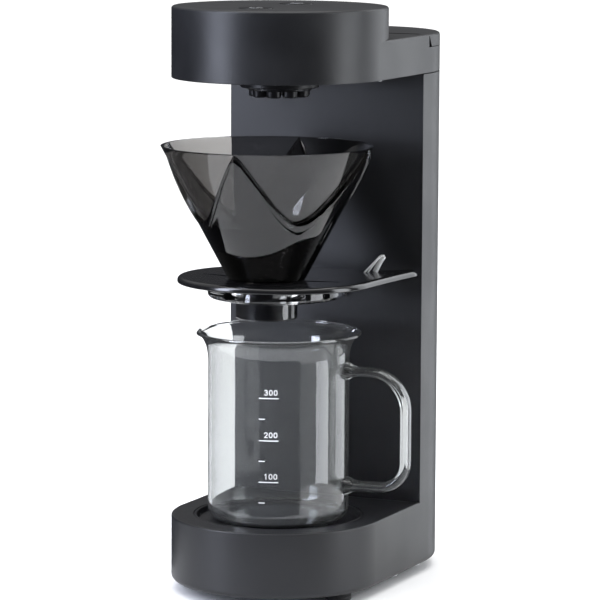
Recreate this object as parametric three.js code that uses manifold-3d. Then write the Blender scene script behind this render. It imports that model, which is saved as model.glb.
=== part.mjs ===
// Commercial coffee brewer: a single-column pour-over machine with a tank in the column, a spray head
// over a cone dripper, and a glass beaker on the foot. Millimetres, +Z up, front towards -Y, and the
// front of the machine, the spray head and the beaker share the vertical axis X = 0, Y = 0.
import * as THREE from 'three';
import * as BufferGeometryUtils from 'three/addons/utils/BufferGeometryUtils.js';
import Module from 'manifold-3d';

const wasm = await Module();
wasm.setup();

// ---------- driving sizes ----------
const gap = 0.3; // clearance between pieces that touch
const beyond = 300; // past every outside face, for cutting blocks
const bodyRadius = 59; // half the width of the machine, and the radius of both ends
const rearCentreY = bodyRadius + 14; // centre of the rear half round
const wall = 2.5; // wall of the moulded shells
const footHeight = 5.5;
const footRadius = 7;
const baseHeight = 36.3;
const baseBottomRound = 3;
const columnFrontY = bodyRadius + 2.5;
const bayHeight = 240.8; // foot deck to underside of head
const headHeight = 21.2; // flat head, front to back
const capHeight = 17.8; // round cap above it
const headRound = 1.5;

const seatRadius = 46.5; // recess that the beaker stands in
const seatDepth = 3;
const seatFloor = 2;

const beakerRadius = 38.9;
const beakerHeight = 104.5;
const beakerWall = 1.8;
const beakerCornerRadius = 7;
const beakerLipFlare = 6.6;
const beakerLipLength = 14;
const beakReach = 2.5; // how far the pouring beak stands out of the rim
const beakRadius = 7;
const handleReach = 75.3; // beaker axis to the outside of the handle
const handleThickness = 5.6;
const handleWidth = 10;
const handleLow = 20.5; // middle of each arm above the beaker's bottom
const handleHigh = 84;
const handleTurn = THREE.MathUtils.degToRad(8);

const coneOffsetY = -16; // the cone stands a little forward of the beaker's axis
const brimTop = 174; // height of the top of the brim
const brimThickness = 3.5;
const brimHalfWidth = 55;
const brimHalfDepth = 50;
const brimCentreY = -4;
const brimTipX = 59;
const brimTipGap = 1.5; // between the brim's tip and the column
const coneRimRadius = 58;
const coneSlope = 0.535; // growth of the radius for each millimetre of height
const coneHeight = 72.9;
const coneWall = 1.8;
const coneBandDepth = 2.1; // the lower part stands this proud of the scallops
const coneBandRimDepth = 0.4; // and this much at the rim
const coneSumpHeight = 30.1; // the thicker foot inside the cone
const coneSumpWall = 4.8;
const coneScallops = 4;
const coneScallopTurn = THREE.MathUtils.degToRad(8); // from straight ahead to the first arch's point
const coneScallopFoot = 0.46; // lowest point of a scallop, as a share of the cone's height
const spoutRadius = 13.8;
const spoutWall = 2;
const spoutBottom = 152.7;
const collarRadius = 16.8;
const collarWall = 1.4;
const gripHeight = 9;
const gripLength = 16;
const gripThickness = 3;
const brimSlotLength = 17;
const brimSlotWidth = 1.6;
const brimSlotX = 31.7; // middle of each slot beside the cone
const brimSlotY = -12.4;
const brimSlotTurn = 13.2;

const holderRadius = 37;
const holderThickness = 4.8;
const holderCentreY = -5;
const holderArmWidth = 28;
const holderFlangeThickness = 2.5;
const holderFlangeDrop = 9;

const sprayRadius = 21.5;
const sprayFlange = 6;
const sprayNozzles = 9;
const sprayNozzleRadius = 4.4;
const sprayNozzleCircle = 12.8;
const sprayNozzleDrop = 4;

const lidFrontY = bodyRadius + 10.6;
const lidSkirt = 6.6;
const hingeY = bodyRadius + 9;
const hingePinRadius = 1.2;
const hingeKnuckleRadius = 2.4;
const hingeKnuckleX = 20;
const hingeKnuckleLength = 8;
const hingeGrooveFrontY = bodyRadius + 6.2;

const tankHeight = 172;
const tankWall = 2;
const tankClearance = 1.2; // all round, so that it lifts out
const tankOutletRadius = 5;

const keyRadius = 9;
const keyTravel = 1;
const keyClearance = 0.4;
const startKeyY = -31;
const cupKeyY = 21;

const screwHeadRadius = 3;
const screwHeadHeight = 2;
const screwShankRadius = 1.5;

const hoseRadius = 4;
const pumpRadius = 16;
const pumpHeight = 16;
const pumpY = rearCentreY + 21;
const impellerBlades = 6;

// ---------- levels and planes worked out from the driving sizes ----------
const baseBottom = footHeight;
const deckTop = baseBottom + baseHeight;
const headBottom = deckTop + bayHeight;
const headTop = headBottom + headHeight;
const capTop = headTop + capHeight;
const seatTop = deckTop - seatDepth;
const beakerBottom = seatTop + gap;
const rearY = rearCentreY + bodyRadius;
const brimBottom = brimTop - brimThickness;
const holderTop = brimBottom - gap;
const coneRimZ = brimTop + coneHeight;
const lidBottom = headTop - lidSkirt;
const hingeZ = headTop + hingePinRadius;

// ---------- materials ----------
const satinBlack = { color: 0x26272a, roughness: 0.45, metalness: 0 };
const deepBlack = { color: 0x131416, roughness: 0.35, metalness: 0 };
const clearGlass = { color: 0xf1f5f5, roughness: 0.02, metalness: 0, opacity: 0.3, transparent: true };
const clearPlastic = { color: 0xe6e8e9, roughness: 0.08, metalness: 0, opacity: 0.4, transparent: true };
const smokePlastic = { color: 0x2c2c2f, roughness: 0.1, metalness: 0, opacity: 0.75, transparent: true };
const blackRubber = { color: 0x1a1a1b, roughness: 0.85, metalness: 0 };
const paleSilicone = { color: 0xd9d9d4, roughness: 0.7, metalness: 0 };
const steel = { color: 0xb9bcc0, roughness: 0.3, metalness: 1 };
const aluminium = { color: 0xc4c6c8, roughness: 0.45, metalness: 1 };
const greenBoard = { color: 0x1f5a3a, roughness: 0.6, metalness: 0 };
const whitePlastic = { color: 0xe2e2de, roughness: 0.5, metalness: 0 };

const machine = new THREE.Group();

function add(name, geometry, material, parent = machine) {
  const mesh = new THREE.Mesh(geometry, new THREE.MeshStandardMaterial(material));
  mesh.name = name;
  parent.add(mesh);
  return mesh;
}

// ---------- solid modelling helpers ----------
function toManifold(geometry) {
  const bare = new THREE.BufferGeometry();
  bare.setAttribute('position', geometry.getAttribute('position'));
  if (geometry.index) bare.setIndex(geometry.index);
  const welded = BufferGeometryUtils.mergeVertices(bare, 1e-4);
  const mesh = new wasm.Mesh({
    numProp: 3,
    vertProperties: new Float32Array(welded.getAttribute('position').array),
    triVerts: new Uint32Array(welded.index.array),
  });
  mesh.merge();
  return new wasm.Manifold(mesh);
}

function fromManifold(solid) {
  const mesh = solid.getMesh();
  const geometry = new THREE.BufferGeometry();
  geometry.setAttribute('position', new THREE.BufferAttribute(mesh.vertProperties, 3));
  geometry.setIndex(new THREE.BufferAttribute(mesh.triVerts, 1));
  geometry.computeVertexNormals();
  return geometry;
}

const join = (...solids) => solids.reduce((sum, solid) => sum.add(solid));
const cut = (solid, ...tools) => tools.reduce((rest, tool) => rest.subtract(tool), solid);

// A flat outline raised from z0 to z1, with both rims rounded by the same radius.
function raised(shape, z0, z1, round = 0, segments = 16) {
  const geometry = new THREE.ExtrudeGeometry(shape, {
    depth: z1 - z0 - 2 * round,
    curveSegments: segments,
    bevelEnabled: round > 0,
    bevelThickness: round,
    bevelSize: round,
    bevelOffset: -round,
    bevelSegments: 2,
  });
  geometry.translate(0, 0, z0 + round);
  return toManifold(geometry);
}

// A cylinder along Z between two heights.
function rod(radius, z0, z1, x = 0, y = 0, segments = 24) {
  const geometry = new THREE.CylinderGeometry(radius, radius, z1 - z0, segments);
  geometry.rotateX(Math.PI / 2);
  geometry.translate(x, y, (z0 + z1) / 2);
  return toManifold(geometry);
}

// A cylinder along X or Y between two positions on that axis.
function crossRod(axis, radius, from, to, a, b, segments = 20) {
  const geometry = new THREE.CylinderGeometry(radius, radius, to - from, segments);
  if (axis === 'x') geometry.rotateZ(-Math.PI / 2).translate((from + to) / 2, a, b);
  else geometry.translate(a, (from + to) / 2, b);
  return toManifold(geometry);
}

function block(x0, x1, y0, y1, z0, z1) {
  const geometry = new THREE.BoxGeometry(x1 - x0, y1 - y0, z1 - z0);
  geometry.translate((x0 + x1) / 2, (y0 + y1) / 2, (z0 + z1) / 2);
  return toManifold(geometry);
}

// A turned solid about the vertical line through (x, y); each profile point is [radius, height].
function turned(profile, x = 0, y = 0, segments = 48) {
  const points = profile.map(([radius, height]) => new THREE.Vector2(radius, height));
  const geometry = new THREE.LatheGeometry(points, segments);
  geometry.rotateX(Math.PI / 2);
  geometry.translate(x, y, 0);
  return toManifold(geometry);
}

// A round hose along a smooth line through the given points.
function hose(points, radius) {
  const path = new THREE.CatmullRomCurve3(points.map(([x, y, z]) => new THREE.Vector3(x, y, z)));
  const section = new THREE.Shape();
  section.absarc(0, 0, radius, 0, 2 * Math.PI, false);
  return new THREE.ExtrudeGeometry(section, {
    steps: 4 * (points.length - 1),
    curveSegments: 4,
    bevelEnabled: false,
    extrudePath: path,
  });
}

// ---------- outlines ----------
// Straight sides with a half round at the front and the rear; inset moves it inwards all round.
function stadium(inset = 0) {
  const radius = bodyRadius - inset;
  const shape = new THREE.Shape();
  shape.absarc(0, 0, radius, Math.PI, 2 * Math.PI, false);
  shape.absarc(0, rearCentreY, radius, 0, Math.PI, false);
  shape.closePath();
  return shape;
}

// The rear part of that outline, behind the plane at frontY.
function rearOutline(frontY, inset = 0) {
  const radius = bodyRadius - inset;
  const start = Math.asin(Math.max(0, frontY - rearCentreY) / radius);
  const shape = new THREE.Shape();
  shape.absarc(0, rearCentreY, radius, start, Math.PI - start, false);
  if (frontY < rearCentreY) {
    shape.lineTo(-radius, frontY);
    shape.lineTo(radius, frontY);
  }
  shape.closePath();
  return shape;
}

function circle(radius, x = 0, y = 0) {
  const shape = new THREE.Shape();
  shape.absarc(x, y, radius, 0, 2 * Math.PI, false);
  return shape;
}

// ---------- main casing: foot and column in one moulding ----------
const bossRadius = 4.5;
const bossBite = 0.6; // how far a boss runs into the side wall
const bossX = bodyRadius - wall - bossRadius + bossBite;
const baseScrewFrontY = rearCentreY - 35;
const baseScrewRearY = rearCentreY - 3;
const baseScrewPlaces = [
  [-bossX, baseScrewFrontY], [bossX, baseScrewFrontY], [-bossX, baseScrewRearY], [bossX, baseScrewRearY],
];
const inletX = -28;
const inletZ = baseBottom + 16;
const inletRadius = 5;
const holderScrewX = 9;
const holderScrewZ = holderTop - holderThickness - holderFlangeDrop / 2;

function buildMainCasing() {
  const tallBase = raised(stadium(), baseBottom, deckTop + baseBottomRound, baseBottomRound);
  const base = cut(tallBase, block(-beyond, beyond, -beyond, beyond, deckTop, deckTop + 2 * baseBottomRound));
  const column = raised(rearOutline(columnFrontY), deckTop - wall, headBottom - gap);
  const baseHollow = raised(stadium(wall), baseBottom - 1, deckTop - wall);
  const columnHollow = raised(rearOutline(columnFrontY + wall, wall), deckTop - wall - 1, headBottom + 1);
  const bosses = baseScrewPlaces.map(([x, y]) => rod(bossRadius, baseBottom + 2 * wall,
    deckTop - wall + 0.5, x, y));
  const seatHole = rod(seatRadius + gap, deckTop - wall - 1, deckTop + 1, 0, 0, 64);
  const inlet = crossRod('y', inletRadius + gap, rearCentreY, rearY + 5, inletX, inletZ);
  const holderHoles = [-1, 1].map((side) => crossRod('y', screwShankRadius + gap, columnFrontY - 2,
    columnFrontY + wall + 2, side * holderScrewX, holderScrewZ));
  const shell = cut(join(base, column), baseHollow, columnHollow);
  const bossHoles = baseScrewPlaces.map(([x, y]) => rod(screwShankRadius + gap, baseBottom,
    deckTop - 2 * wall, x, y));
  return cut(join(shell, ...bosses), seatHole, inlet, ...holderHoles, ...bossHoles);
}
add('main_casing', fromManifold(buildMainCasing()), satinBlack);

// ---------- base plate, screws and feet ----------
function buildBasePlate() {
  const plate = raised(stadium(wall + gap), baseBottom, baseBottom + wall);
  const holes = baseScrewPlaces.map(([x, y]) => rod(screwShankRadius + gap, baseBottom - 1, deckTop, x, y));
  const sinks = baseScrewPlaces.map(([x, y]) => rod(screwHeadRadius + gap, baseBottom - 1,
    baseBottom + screwHeadHeight / 2, x, y));
  return cut(plate, ...holes, ...sinks);
}
add('base_plate', fromManifold(buildBasePlate()), deepBlack);

function screwSolid(length) {
  const head = [[0, 0], [screwHeadRadius, 0], [screwHeadRadius, screwHeadHeight]];
  const shank = [[screwShankRadius, screwHeadHeight], [screwShankRadius, screwHeadHeight + length]];
  return turned([...head, ...shank, [0, screwHeadHeight + length]], 0, 0, 10);
}

baseScrewPlaces.forEach(([x, y], index) => {
  const screw = add(`base_screw_${index + 1}`, fromManifold(screwSolid(12)), steel);
  screw.position.set(x, y, baseBottom - screwHeadHeight / 2 - gap);
});

const footX = 43;
const footFrontY = -14;
const footRearX = 36;
const footRearY = rearCentreY + 31;
const footPlaces = [
  [-footX, footFrontY], [footX, footFrontY], [-footRearX, footRearY], [footRearX, footRearY],
];
footPlaces.forEach(([x, y], index) => {
  const top = baseBottom - gap;
  const foot = turned([[0, 0], [footRadius - 1, 0], [footRadius, 1], [footRadius, top], [0, top]], x, y, 20);
  add(`foot_${index + 1}`, fromManifold(foot), blackRubber);
});

// ---------- beaker seat, let into the deck from below ----------
function buildSeat() {
  const flange = seatRadius + 3;
  const under = deckTop - wall - gap;
  const inner = seatRadius - 2.5;
  return turned([
    [0, seatTop - seatFloor], [flange, seatTop - seatFloor], [flange, under], [seatRadius, under],
    [seatRadius, deckTop - 0.5], [seatRadius - 0.5, deckTop], [inner + 0.8, deckTop - 1.2],
    [inner, seatTop], [0, seatTop],
  ], 0, 0, 48);
}
add('beaker_seat', fromManifold(buildSeat()), deepBlack);

// ---------- head: flat stadium head with the round cap over its front ----------
const headScrewY = 10;
const headScrewPlaces = [[-bossX, headScrewY], [bossX, headScrewY]];
const keyPlaces = { start_key: startKeyY, cup_key: cupKeyY };

function buildHeadShell() {
  const tallHead = raised(stadium(), headBottom - headRound, headTop, headRound);
  const flatHead = cut(tallHead, block(-beyond, beyond, -beyond, beyond, headBottom - 2 * headRound, headBottom));
  const lidSpace = block(-beyond, beyond, lidFrontY - gap, beyond, lidBottom - gap, headTop + 1);
  const groove = block(-bodyRadius + 2 * wall, bodyRadius - 2 * wall, hingeGrooveFrontY, beyond,
    lidBottom - gap, headTop + 1);
  const cap = raised(circle(bodyRadius), headTop - 4, capTop, headRound);
  const hollow = raised(stadium(wall), headBottom - 1, headTop - wall);
  const capHollow = raised(circle(bodyRadius - wall), headTop - wall - 1, capTop - wall);
  const keyHoles = Object.values(keyPlaces).map((y) => rod(keyRadius + keyClearance,
    capTop - 2 * wall, capTop + 1, 0, y, 32));
  const tankOpening = raised(rearOutline(hingeGrooveFrontY + 2 * wall, wall),
    headTop - 2 * wall, headTop + 1);
  const lugs = [-1, 1].map((side) => {
    const inside = side * (hingeKnuckleX - hingeKnuckleLength - gap);
    const outside = side * (hingeKnuckleX - 2 * hingeKnuckleLength);
    const [x0, x1] = [Math.min(inside, outside), Math.max(inside, outside)];
    const barrel = crossRod('x', hingeKnuckleRadius, x0, x1, hingeY, hingeZ);
    const web = block(x0, x1, hingeGrooveFrontY - 1, hingeY, headTop - wall, headTop + hingePinRadius);
    const bore = crossRod('x', hingePinRadius + 0.2, x0 - 1, x1 + 1, hingeY, hingeZ);
    return cut(join(barrel, web), bore);
  });
  const shell = cut(join(flatHead, cap), hollow, capHollow, lidSpace, groove, tankOpening, ...keyHoles);
  const bosses = headScrewPlaces.map(([x, y]) => rod(bossRadius, headBottom + 2 * wall,
    headTop - wall + 0.5, x, y));
  const bossHoles = headScrewPlaces.map(([x, y]) => rod(screwShankRadius + gap, headBottom,
    headTop - 2 * wall, x, y));
  const roof = join(shell, ...bosses.map((boss) => boss.intersect(raised(stadium(1), headBottom, headTop))));
  return cut(join(roof, ...lugs), ...bossHoles);
}
add('head_shell', fromManifold(buildHeadShell()), satinBlack);

// The cover that closes the head from below and carries the spray head; it ends in front of the column.
const coverRearY = columnFrontY - gap;
function buildHeadCover() {
  const cover = raised(stadium(wall + gap), headBottom + gap, headBottom + gap + wall);
  const rearCut = block(-beyond, beyond, coverRearY, beyond, headBottom - 1, headTop);
  const hole = rod(sprayRadius - 6, headBottom - 1, headTop, 0, 0, 32);
  const screwHoles = headScrewPlaces.map(([x, y]) => rod(screwShankRadius + gap,
    headBottom - 1, headTop, x, y));
  const screwSinks = headScrewPlaces.map(([x, y]) => rod(screwHeadRadius + gap, headBottom - 1,
    headBottom + gap + wall / 2, x, y));
  return cut(cover, rearCut, hole, ...screwHoles, ...screwSinks);
}
add('head_cover', fromManifold(buildHeadCover()), satinBlack);

headScrewPlaces.forEach(([x, y], index) => {
  const screw = add(`head_screw_${index + 1}`, fromManifold(screwSolid(8)), steel);
  screw.position.set(x, y, headBottom + wall / 2 - screwHeadHeight);
});

// ---------- spray head and its water way ----------
function buildSprayHead() {
  const top = headBottom;
  const flangeBottom = top - sprayFlange;
  const nozzleBottom = flangeBottom - sprayNozzleDrop;
  const spigotRadius = sprayRadius - 6 - gap;
  const body = turned([
    [0, flangeBottom - 1], [sprayNozzleCircle + 2, flangeBottom - 1], [sprayNozzleCircle + 2, flangeBottom],
    [sprayRadius - 1, flangeBottom], [sprayRadius, flangeBottom + 1], [sprayRadius, top],
    [spigotRadius, top], [spigotRadius, top + wall + 3], [0, top + wall + 3],
  ], 0, 0, 48);
  const nozzles = Array.from({ length: sprayNozzles }, (_, index) => {
    const angle = (2 * Math.PI * index) / sprayNozzles;
    const profile = [[0, nozzleBottom], [sprayNozzleRadius - 1.4, nozzleBottom],
      [sprayNozzleRadius, nozzleBottom + 1.4], [sprayNozzleRadius, top - 1], [0, top - 1]];
    return turned(profile, sprayNozzleCircle * Math.cos(angle), sprayNozzleCircle * Math.sin(angle), 10);
  });
  return join(body, ...nozzles);
}
add('spray_head', fromManifold(buildSprayHead()).translate(0, 0, -gap), deepBlack);

const manifoldBottom = headBottom + wall + 4;
function buildSprayManifold() {
  const drum = rod(sprayRadius - 6, manifoldBottom, manifoldBottom + 7, 0, 0, 32);
  const spigot = crossRod('y', hoseRadius - 1.5, 0, sprayRadius + 2, 0, manifoldBottom + 3.5);
  return join(drum, spigot);
}
add('spray_manifold', fromManifold(buildSprayManifold()), whitePlastic);

const riserY = columnFrontY + wall + hoseRadius + 2;
const riserTop = manifoldBottom + 3.5;

// ---------- keys and their board ----------
const keyTop = capTop + 0.4;
const boardTop = capTop - wall - 4.2;
Object.entries(keyPlaces).forEach(([name, y]) => {
  const flange = keyRadius + 2;
  const under = capTop - wall - gap - keyTravel / 2;
  const key = turned([
    [0, boardTop + 1.2 + keyTravel], [flange, boardTop + 1.2 + keyTravel], [flange, under],
    [keyRadius, under], [keyRadius, keyTop - 0.5], [keyRadius - 0.5, keyTop], [0, keyTop],
  ], 0, y, 32);
  add(name, fromManifold(key), deepBlack);
});

function buildControlBoard() {
  const board = block(-20, 20, -44, 40, boardTop - 1.6, boardTop);
  const chips = [
    block(-16, -6, -8, 4, boardTop - 0.5, boardTop + 1.5),
    block(4, 16, -10, -2, boardTop - 0.5, boardTop + 2),
  ];
  const switches = Object.values(keyPlaces).map((y) => rod(3, boardTop - 0.5, boardTop + 1, 0, y, 16));
  return join(board, ...chips, ...switches);
}
add('control_board', fromManifold(buildControlBoard()), greenBoard);

// ---------- tank lid, hinge pin and seal ----------
function buildTankLid() {
  const tall = raised(rearOutline(lidFrontY), lidBottom - headRound, headTop, headRound);
  const outer = cut(tall, block(-beyond, beyond, 0, beyond, lidBottom - 2 * headRound, lidBottom));
  const hollow = raised(rearOutline(lidFrontY + wall, wall), lidBottom - 1, headTop - wall);
  const knuckles = [-1, 1].map((side) => {
    const [x0, x1] = side < 0 ? [-hingeKnuckleX, -hingeKnuckleX + hingeKnuckleLength]
      : [hingeKnuckleX - hingeKnuckleLength, hingeKnuckleX];
    const barrel = crossRod('x', hingeKnuckleRadius, x0, x1, hingeY, hingeZ);
    const web = block(x0, x1, hingeY, lidFrontY + wall, headTop - 1, headTop + hingePinRadius);
    return cut(join(barrel, web), crossRod('x', hingePinRadius + 0.2, x0 - 1, x1 + 1, hingeY, hingeZ));
  });
  const cornerCuts = [-1, 1].map((side) => {
    const slant = new THREE.Shape();
    slant.moveTo(lidFrontY - 1, lidBottom - 1);
    slant.lineTo(lidFrontY + 4, lidBottom - 1);
    slant.lineTo(lidFrontY + 0.3, headTop - 1);
    slant.lineTo(lidFrontY - 1, headTop - 1);
    const wedge = new THREE.ExtrudeGeometry(slant, { depth: 2 * wall, bevelEnabled: false });
    wedge.applyMatrix4(new THREE.Matrix4().makeBasis(new THREE.Vector3(0, 1, 0), new THREE.Vector3(0, 0, 1),
      new THREE.Vector3(1, 0, 0)));
    wedge.translate(side > 0 ? bodyRadius - wall : -bodyRadius - wall, 0, 0);
    return toManifold(wedge);
  });
  return join(cut(outer, hollow, ...cornerCuts), ...knuckles);
}
add('tank_lid', fromManifold(buildTankLid()), satinBlack);

const pinHalfLength = hingeKnuckleX + 1;
add('lid_hinge_pin', fromManifold(crossRod('x', hingePinRadius, -pinHalfLength, pinHalfLength,
  hingeY, hingeZ)), steel);

const tankInset = wall + tankClearance;
const tankFrontY = riserY + hoseRadius + 2;
const sealTop = headTop - wall - gap;
const sealHeight = 2;
function buildLidSeal() {
  const outer = raised(rearOutline(tankFrontY, tankInset), sealTop - sealHeight, sealTop);
  const inner = raised(rearOutline(tankFrontY + 4, tankInset + 4), sealTop - sealHeight - 1, sealTop + 1);
  return cut(outer, inner);
}
add('lid_seal', fromManifold(buildLidSeal()), paleSilicone);

// ---------- water tank, its strainer and valve ----------
const tankTop = sealTop - sealHeight - gap;
const tankBottom = tankTop - tankHeight;
const outletY = rearCentreY + 35;
function buildTank() {
  const outer = raised(rearOutline(tankFrontY, tankInset), tankBottom, tankTop);
  const inner = raised(rearOutline(tankFrontY + tankWall, tankInset + tankWall),
    tankBottom + tankWall, tankTop + 1);
  const neck = rod(tankOutletRadius, tankBottom - 8, tankBottom + 0.5, 0, outletY);
  const bore = rod(tankOutletRadius - 1.5, tankBottom - 9, tankBottom + tankWall + 1, 0, outletY);
  return cut(join(cut(outer, inner), neck), bore);
}
add('water_tank', fromManifold(buildTank()), clearPlastic);

add('tank_strainer', fromManifold(turned([
  [0, tankBottom + tankWall + gap], [8, tankBottom + tankWall + gap], [8, tankBottom + tankWall + 2],
  [5, tankBottom + tankWall + 3], [5, tankBottom + tankWall + 14], [0, tankBottom + tankWall + 15],
], 0, outletY, 20)), whitePlastic);

const valveTop = tankBottom - 8 - gap;
const valveHeight = 12;
add('check_valve', fromManifold(turned([
  [0, valveTop - valveHeight], [3, valveTop - valveHeight], [3, valveTop - valveHeight + 3],
  [6.5, valveTop - valveHeight + 3], [6.5, valveTop], [0, valveTop],
], 0, outletY, 20)), whitePlastic);

// ---------- pump: housing, cover, impeller and motor ----------
const pumpBottom = deckTop + 14;
const pumpX = 24;
const pumpWall = 2;
function buildPumpHousing() {
  const cup = rod(pumpRadius, pumpBottom, pumpBottom + pumpHeight, pumpX, pumpY, 32);
  const hollow = rod(pumpRadius - pumpWall, pumpBottom + pumpWall, pumpBottom + pumpHeight + 1,
    pumpX, pumpY, 32);
  const shaftHole = rod(1.5 + gap, pumpBottom - 1, pumpBottom + pumpWall + 1, pumpX, pumpY, 16);
  const spout = crossRod('x', 3, pumpX - pumpRadius - 8, pumpX - pumpRadius + 1.5,
    pumpY, pumpBottom + pumpHeight / 2);
  return cut(join(cut(cup, hollow), spout), shaftHole);
}
add('pump_housing', fromManifold(buildPumpHousing()), deepBlack);

const pumpCoverBottom = pumpBottom + pumpHeight + gap;
function buildPumpCover() {
  const disc = rod(pumpRadius, pumpCoverBottom, pumpCoverBottom + 2, pumpX, pumpY, 32);
  const spigot = rod(3, pumpCoverBottom + 1, pumpCoverBottom + 8, pumpX, pumpY, 16);
  return join(disc, spigot);
}
add('pump_cover', fromManifold(buildPumpCover()), deepBlack);

function buildImpeller() {
  const z0 = pumpBottom + pumpWall + 1;
  const hub = rod(3.5, z0, z0 + 8, 0, 0, 16);
  const plate = rod(pumpRadius - pumpWall - 1, z0, z0 + 1.5, 0, 0, 28);
  const shaft = rod(1.5, pumpBottom - 3, z0 + 0.5, 0, 0, 16);
  const blades = Array.from({ length: impellerBlades }, (_, index) => {
    const blade = block(2.5, pumpRadius - pumpWall - 1.5, -0.7, 0.7, z0 + 0.5, z0 + 8);
    return blade.rotate([0, 0, (360 * index) / impellerBlades]);
  });
  return join(hub, plate, shaft, ...blades).translate([pumpX, pumpY, 0]);
}
add('pump_impeller', fromManifold(buildImpeller()), whitePlastic);

function buildPumpMotor() {
  const motorTop = pumpBottom - gap;
  const can = rod(12, motorTop - 22, motorTop, pumpX, pumpY, 28);
  const rotorHole = rod(1.5 + gap, motorTop - 4, motorTop + 1, pumpX, pumpY, 16);
  return cut(can, rotorHole);
}
add('pump_motor', fromManifold(buildPumpMotor()), steel);

const hoseStraight = 4; // straight length at each end of a hose
const suctionBottom = pumpCoverBottom + 8 + gap;
const suctionTop = valveTop - valveHeight - gap;
add('suction_hose', hose([
  [0, outletY, suctionTop], [0, outletY, suctionTop - hoseStraight],
  [pumpX, pumpY, suctionBottom + hoseStraight], [pumpX, pumpY, suctionBottom],
], hoseRadius - 1), paleSilicone);

// ---------- flow heater, its bracket, thermostat and fuse ----------
const heaterX = -28;
const heaterBottom = pumpBottom - 2;
const heaterHeight = 50;
const heaterTop = heaterBottom + heaterHeight;
const heaterHalfWidth = 11;
const heaterHalfDepth = 10;
const heaterInletX = heaterX + heaterHalfWidth + 6;
const feedZ = pumpBottom + pumpHeight / 2;
const heaterFrontY = pumpY - heaterHalfDepth;
const heaterRearY = pumpY + heaterHalfDepth;
function buildHeater() {
  const core = block(heaterX - heaterHalfWidth, heaterX + heaterHalfWidth, heaterFrontY, heaterRearY,
    heaterBottom, heaterTop);
  const top = rod(3, heaterTop - 1, heaterTop + 3, heaterX, pumpY, 16);
  const inlet = crossRod('x', 3, heaterX + heaterHalfWidth - 1, heaterInletX, pumpY, feedZ);
  return join(core, top, inlet);
}
add('heater_block', fromManifold(buildHeater()), aluminium);

const bracketX0 = heaterX - heaterHalfWidth;
const bracketX1 = heaterX + heaterHalfWidth;
add('heater_bracket', fromManifold(join(
  block(bracketX0, bracketX1, heaterRearY + gap, heaterRearY + 2, heaterBottom + 4.5, heaterTop - 6),
  block(bracketX0, bracketX1, heaterRearY + gap, heaterRearY + 6, heaterBottom + 4.5, heaterBottom + 6.5),
)), steel);

const thermostatSolid = turned([[0, 0], [6, 0], [6, 3], [3.5, 3], [3.5, 6], [0, 6]], 0, 0, 20);
add('thermostat', fromManifold(thermostatSolid.rotate([90, 0, 0])
  .translate([heaterX, heaterFrontY - gap, heaterBottom + 36])), steel);

const fuseRadius = 2;
add('thermal_fuse', fromManifold(crossRod('x', fuseRadius, heaterX - 9, heaterX + 9,
  heaterFrontY - gap - fuseRadius, heaterBottom + 14)), whitePlastic);

add('feed_hose', hose([
  [pumpX - pumpRadius - 8 - gap, pumpY, feedZ], [heaterInletX + gap, pumpY, feedZ],
], hoseRadius - 1.5), paleSilicone);

const riserStart = heaterTop + 3 + gap;
add('riser_hose', hose([
  [heaterX, pumpY, riserStart], [heaterX, pumpY, riserStart + hoseStraight],
  [heaterX / 2, (pumpY + riserY) / 2 - 2, riserStart + 1.6], [0, riserY, riserStart + 17.6],
  [0, riserY, riserStart + 91.6], [0, riserY, headBottom - 12], [0, riserY - 3, riserTop - 3],
  [0, riserY - 12, riserTop], [0, sprayRadius + 2 + gap + hoseStraight, riserTop],
  [0, sprayRadius + 2 + gap, riserTop],
], hoseRadius - 1), paleSilicone);

// ---------- power board in the foot, and the cable gland ----------
function buildPowerBoard() {
  const bottom = baseBottom + wall + 4;
  const board = block(-26, 26, rearCentreY + 3, rearCentreY + 45, bottom, bottom + 1.6);
  const transformer = block(-20, -2, rearCentreY + 11, rearCentreY + 31, bottom + 1, bottom + 14);
  const capacitor = rod(5, bottom + 1, bottom + 13, 14, rearCentreY + 21, 20);
  return join(board, transformer, capacitor);
}
add('power_board', fromManifold(buildPowerBoard()), greenBoard);

const glandWallY = rearCentreY + Math.sqrt(bodyRadius ** 2 - inletX ** 2);
function buildGland() {
  const barrel = crossRod('y', inletRadius, glandWallY - 8, glandWallY + 3, inletX, inletZ);
  const bore = crossRod('y', 3, glandWallY - 9, glandWallY + 4, inletX, inletZ);
  return cut(barrel, bore);
}
add('cable_gland', fromManifold(buildGland()), blackRubber);

// ---------- clear holder that carries the dripper ----------
const holderBottom = holderTop - holderThickness;
const holderFlangeY = columnFrontY - gap;
function buildHolder() {
  const ring = rod(holderRadius, holderBottom, holderTop, 0, holderCentreY, 48);
  const half = holderArmWidth / 2;
  const armFrontY = holderCentreY + holderRadius - 8;
  const arm = block(-half, half, armFrontY, holderFlangeY, holderBottom, holderTop);
  const flange = block(-half, half, holderFlangeY - holderFlangeThickness, holderFlangeY,
    holderBottom - holderFlangeDrop, holderTop);
  const opening = rod(collarRadius + 1, holderBottom - 1, holderTop + 1, 0, coneOffsetY, 48);
  const screwHoles = [-1, 1].map((side) => crossRod('y', screwShankRadius + gap,
    holderFlangeY - 10, holderFlangeY + 1, side * holderScrewX, holderScrewZ));
  return cut(join(ring, arm, flange), opening, ...screwHoles);
}
add('dripper_holder', fromManifold(buildHolder()), clearPlastic);

[-1, 1].forEach((side, index) => {
  const screw = add(`holder_screw_${index + 1}`, fromManifold(screwSolid(8)), steel);
  screw.rotation.x = -Math.PI / 2;
  const headY = holderFlangeY - holderFlangeThickness - gap - screwHeadHeight;
  screw.position.set(side * holderScrewX, headY, holderScrewZ);
});

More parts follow.
